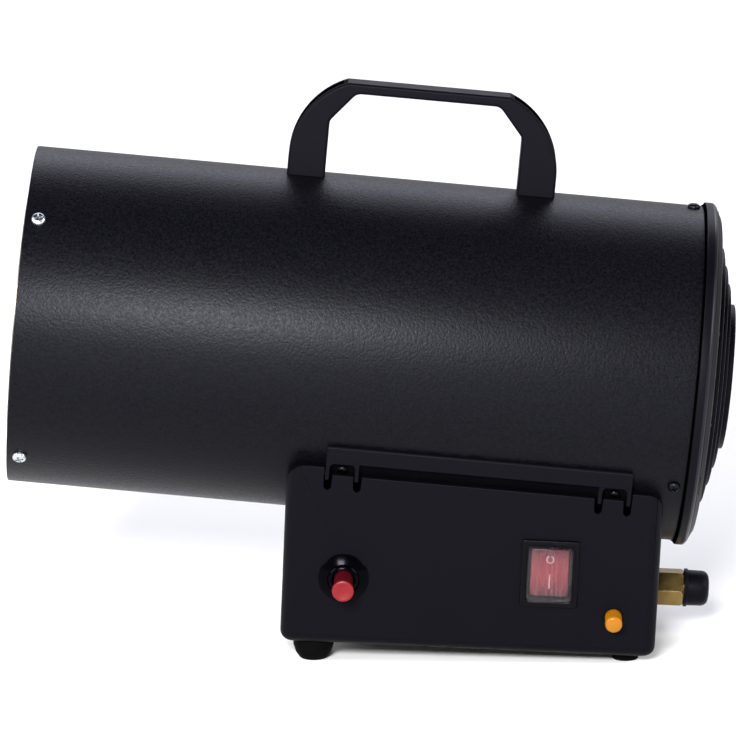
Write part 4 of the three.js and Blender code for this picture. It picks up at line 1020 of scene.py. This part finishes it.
def makeInlet():
    n = inlet
    place = onBox @ Matrix.Translation(Vector((0, 0, controlBox["inletAt"][1])) * mm)
    start, end, corner = n["hexFrom"], n["hexTo"], n["corner"]
    cone = [  # turns the hexagon's corners down at both ends
        (start - 1, 0), (start - 1, corner - 1.2), (start + 1.3, corner + 0.2),
        (end - 1.5, corner + 0.2), (end + 0.6, corner - 1.6), (end + 0.6, 0),
    ]
    bm = combined(cylinder(corner, start, end, 6), spun(cone, 96, closed=False), "INTERSECT")
    bevelled(bm, 0.25, 2, 25, clamp=False)
    start, step, end, radius = n["shankFrom"], n["shankTo"], n["end"], n["nipple"]
    nipple = [
        (start, 0), (start, n["shank"]), (step, n["shank"]), (step, radius), (end - 1, radius), (end, radius - 0.8),
        (end, n["bore"]), (n["boreFrom"], n["bore"]), (n["boreFrom"], 0),
    ]
    merged(bm, spun(nipple, 64, closed=False))
    finished("gasInlet", bm, brass, place, ["inlet_fitting"], even=True)
    start, end, radius, lip, bore = n["capFrom"], n["capEnd"], n["cap"], n["capLip"], n["capBore"]
    floor = end - n["capWall"]
    cap = [
        (start, bore), (start, lip - 0.3), (start + 0.3, lip), (start + 1.6, lip), (start + 2.0, lip - 0.2),
        (start + 2.3, radius), (end - 4.2, radius - 0.1), (end - 2.6, radius - 0.5), (end - 1.2, radius - 1.5),
        (end - 0.35, radius - 3.0), (end, radius - 4.8), (end, 0), (floor, 0), (floor, bore - 1.1),
        (floor - 1.2, bore),
    ]
    finished("inletCap", spun(cap, 96), softVinyl, place, ["inlet_cap"], "inlet_dust_cap")


makeInlet()

# ---- rubber feet: a taller pair under the outlet end levels the tilted box
feet = {
    "side": 58.5, "places": (("front", -86.3), ("rear", 89.0)),
    "front": ((0, 5.9), (0.25, 6.9), (0.9, 7.9), (4, 10), (8, 11.3), (14, 11.6), (20, 11.7)),
    "rear": ((0, 6.3), (0.2, 6.9), (0.6, 7.3), (1.6, 7.6), (12, 7.6)),
}


def makeFeet():
    for end, u in feet["places"]:
        profile = [(0, 0), *feet[end], (feet[end][-1][0], 0)]
        for side, y in (("near", -feet["side"]), ("far", feet["side"])):
            at = onBox @ (Vector((u, y, 0)) * mm)
            place = Matrix.Translation((at.x, at.y, 0))
            piece = upright(spun(profile, 72, closed=False))
            name = f"{end}Foot{side.capitalize()}"
            finished(name, piece, blackRubber, place, [f"{end}_foot_{side}"])


makeFeet()
print("inlet and feet ready")

# ---- every CAD node that still shows gets its own finish
nodeFinish = {
    "burner_head": heatedSteel, "burner_bracket": zincSheet, "burner_jet": brass, "gas_pipe": copper,
    "motor_stator": zincSheet, "motor_coil": winding, "motor_strap_front": zincSheet, "motor_strap_rear": zincSheet,
    "motor_mount": zincSheet, "motor_bolt_1": zinc, "motor_bolt_2": zinc, "motor_rotor": zinc,
    "fan_impeller": blackPlastic, "fan_clip": zinc, "overheat_thermostat": blackPlastic, "thermocouple": copper,
    "ignition_electrode": ceramic, "ignition_lead": blackRubber, "motor_lead": blackRubber,
    "gas_valve": brass,
    "terminal_block": greyPlastic, "cable_bush": blackRubber,
    "shell_screw_1": zinc, "shell_screw_2": zinc, "handle_screw_1": zinc, "handle_screw_2": zinc,
}
for name, material in nodeFinish.items():
    node = frame["nodes"][name]
    node.data.materials.clear()
    node.data.materials.append(material)
print("node finishes ready")
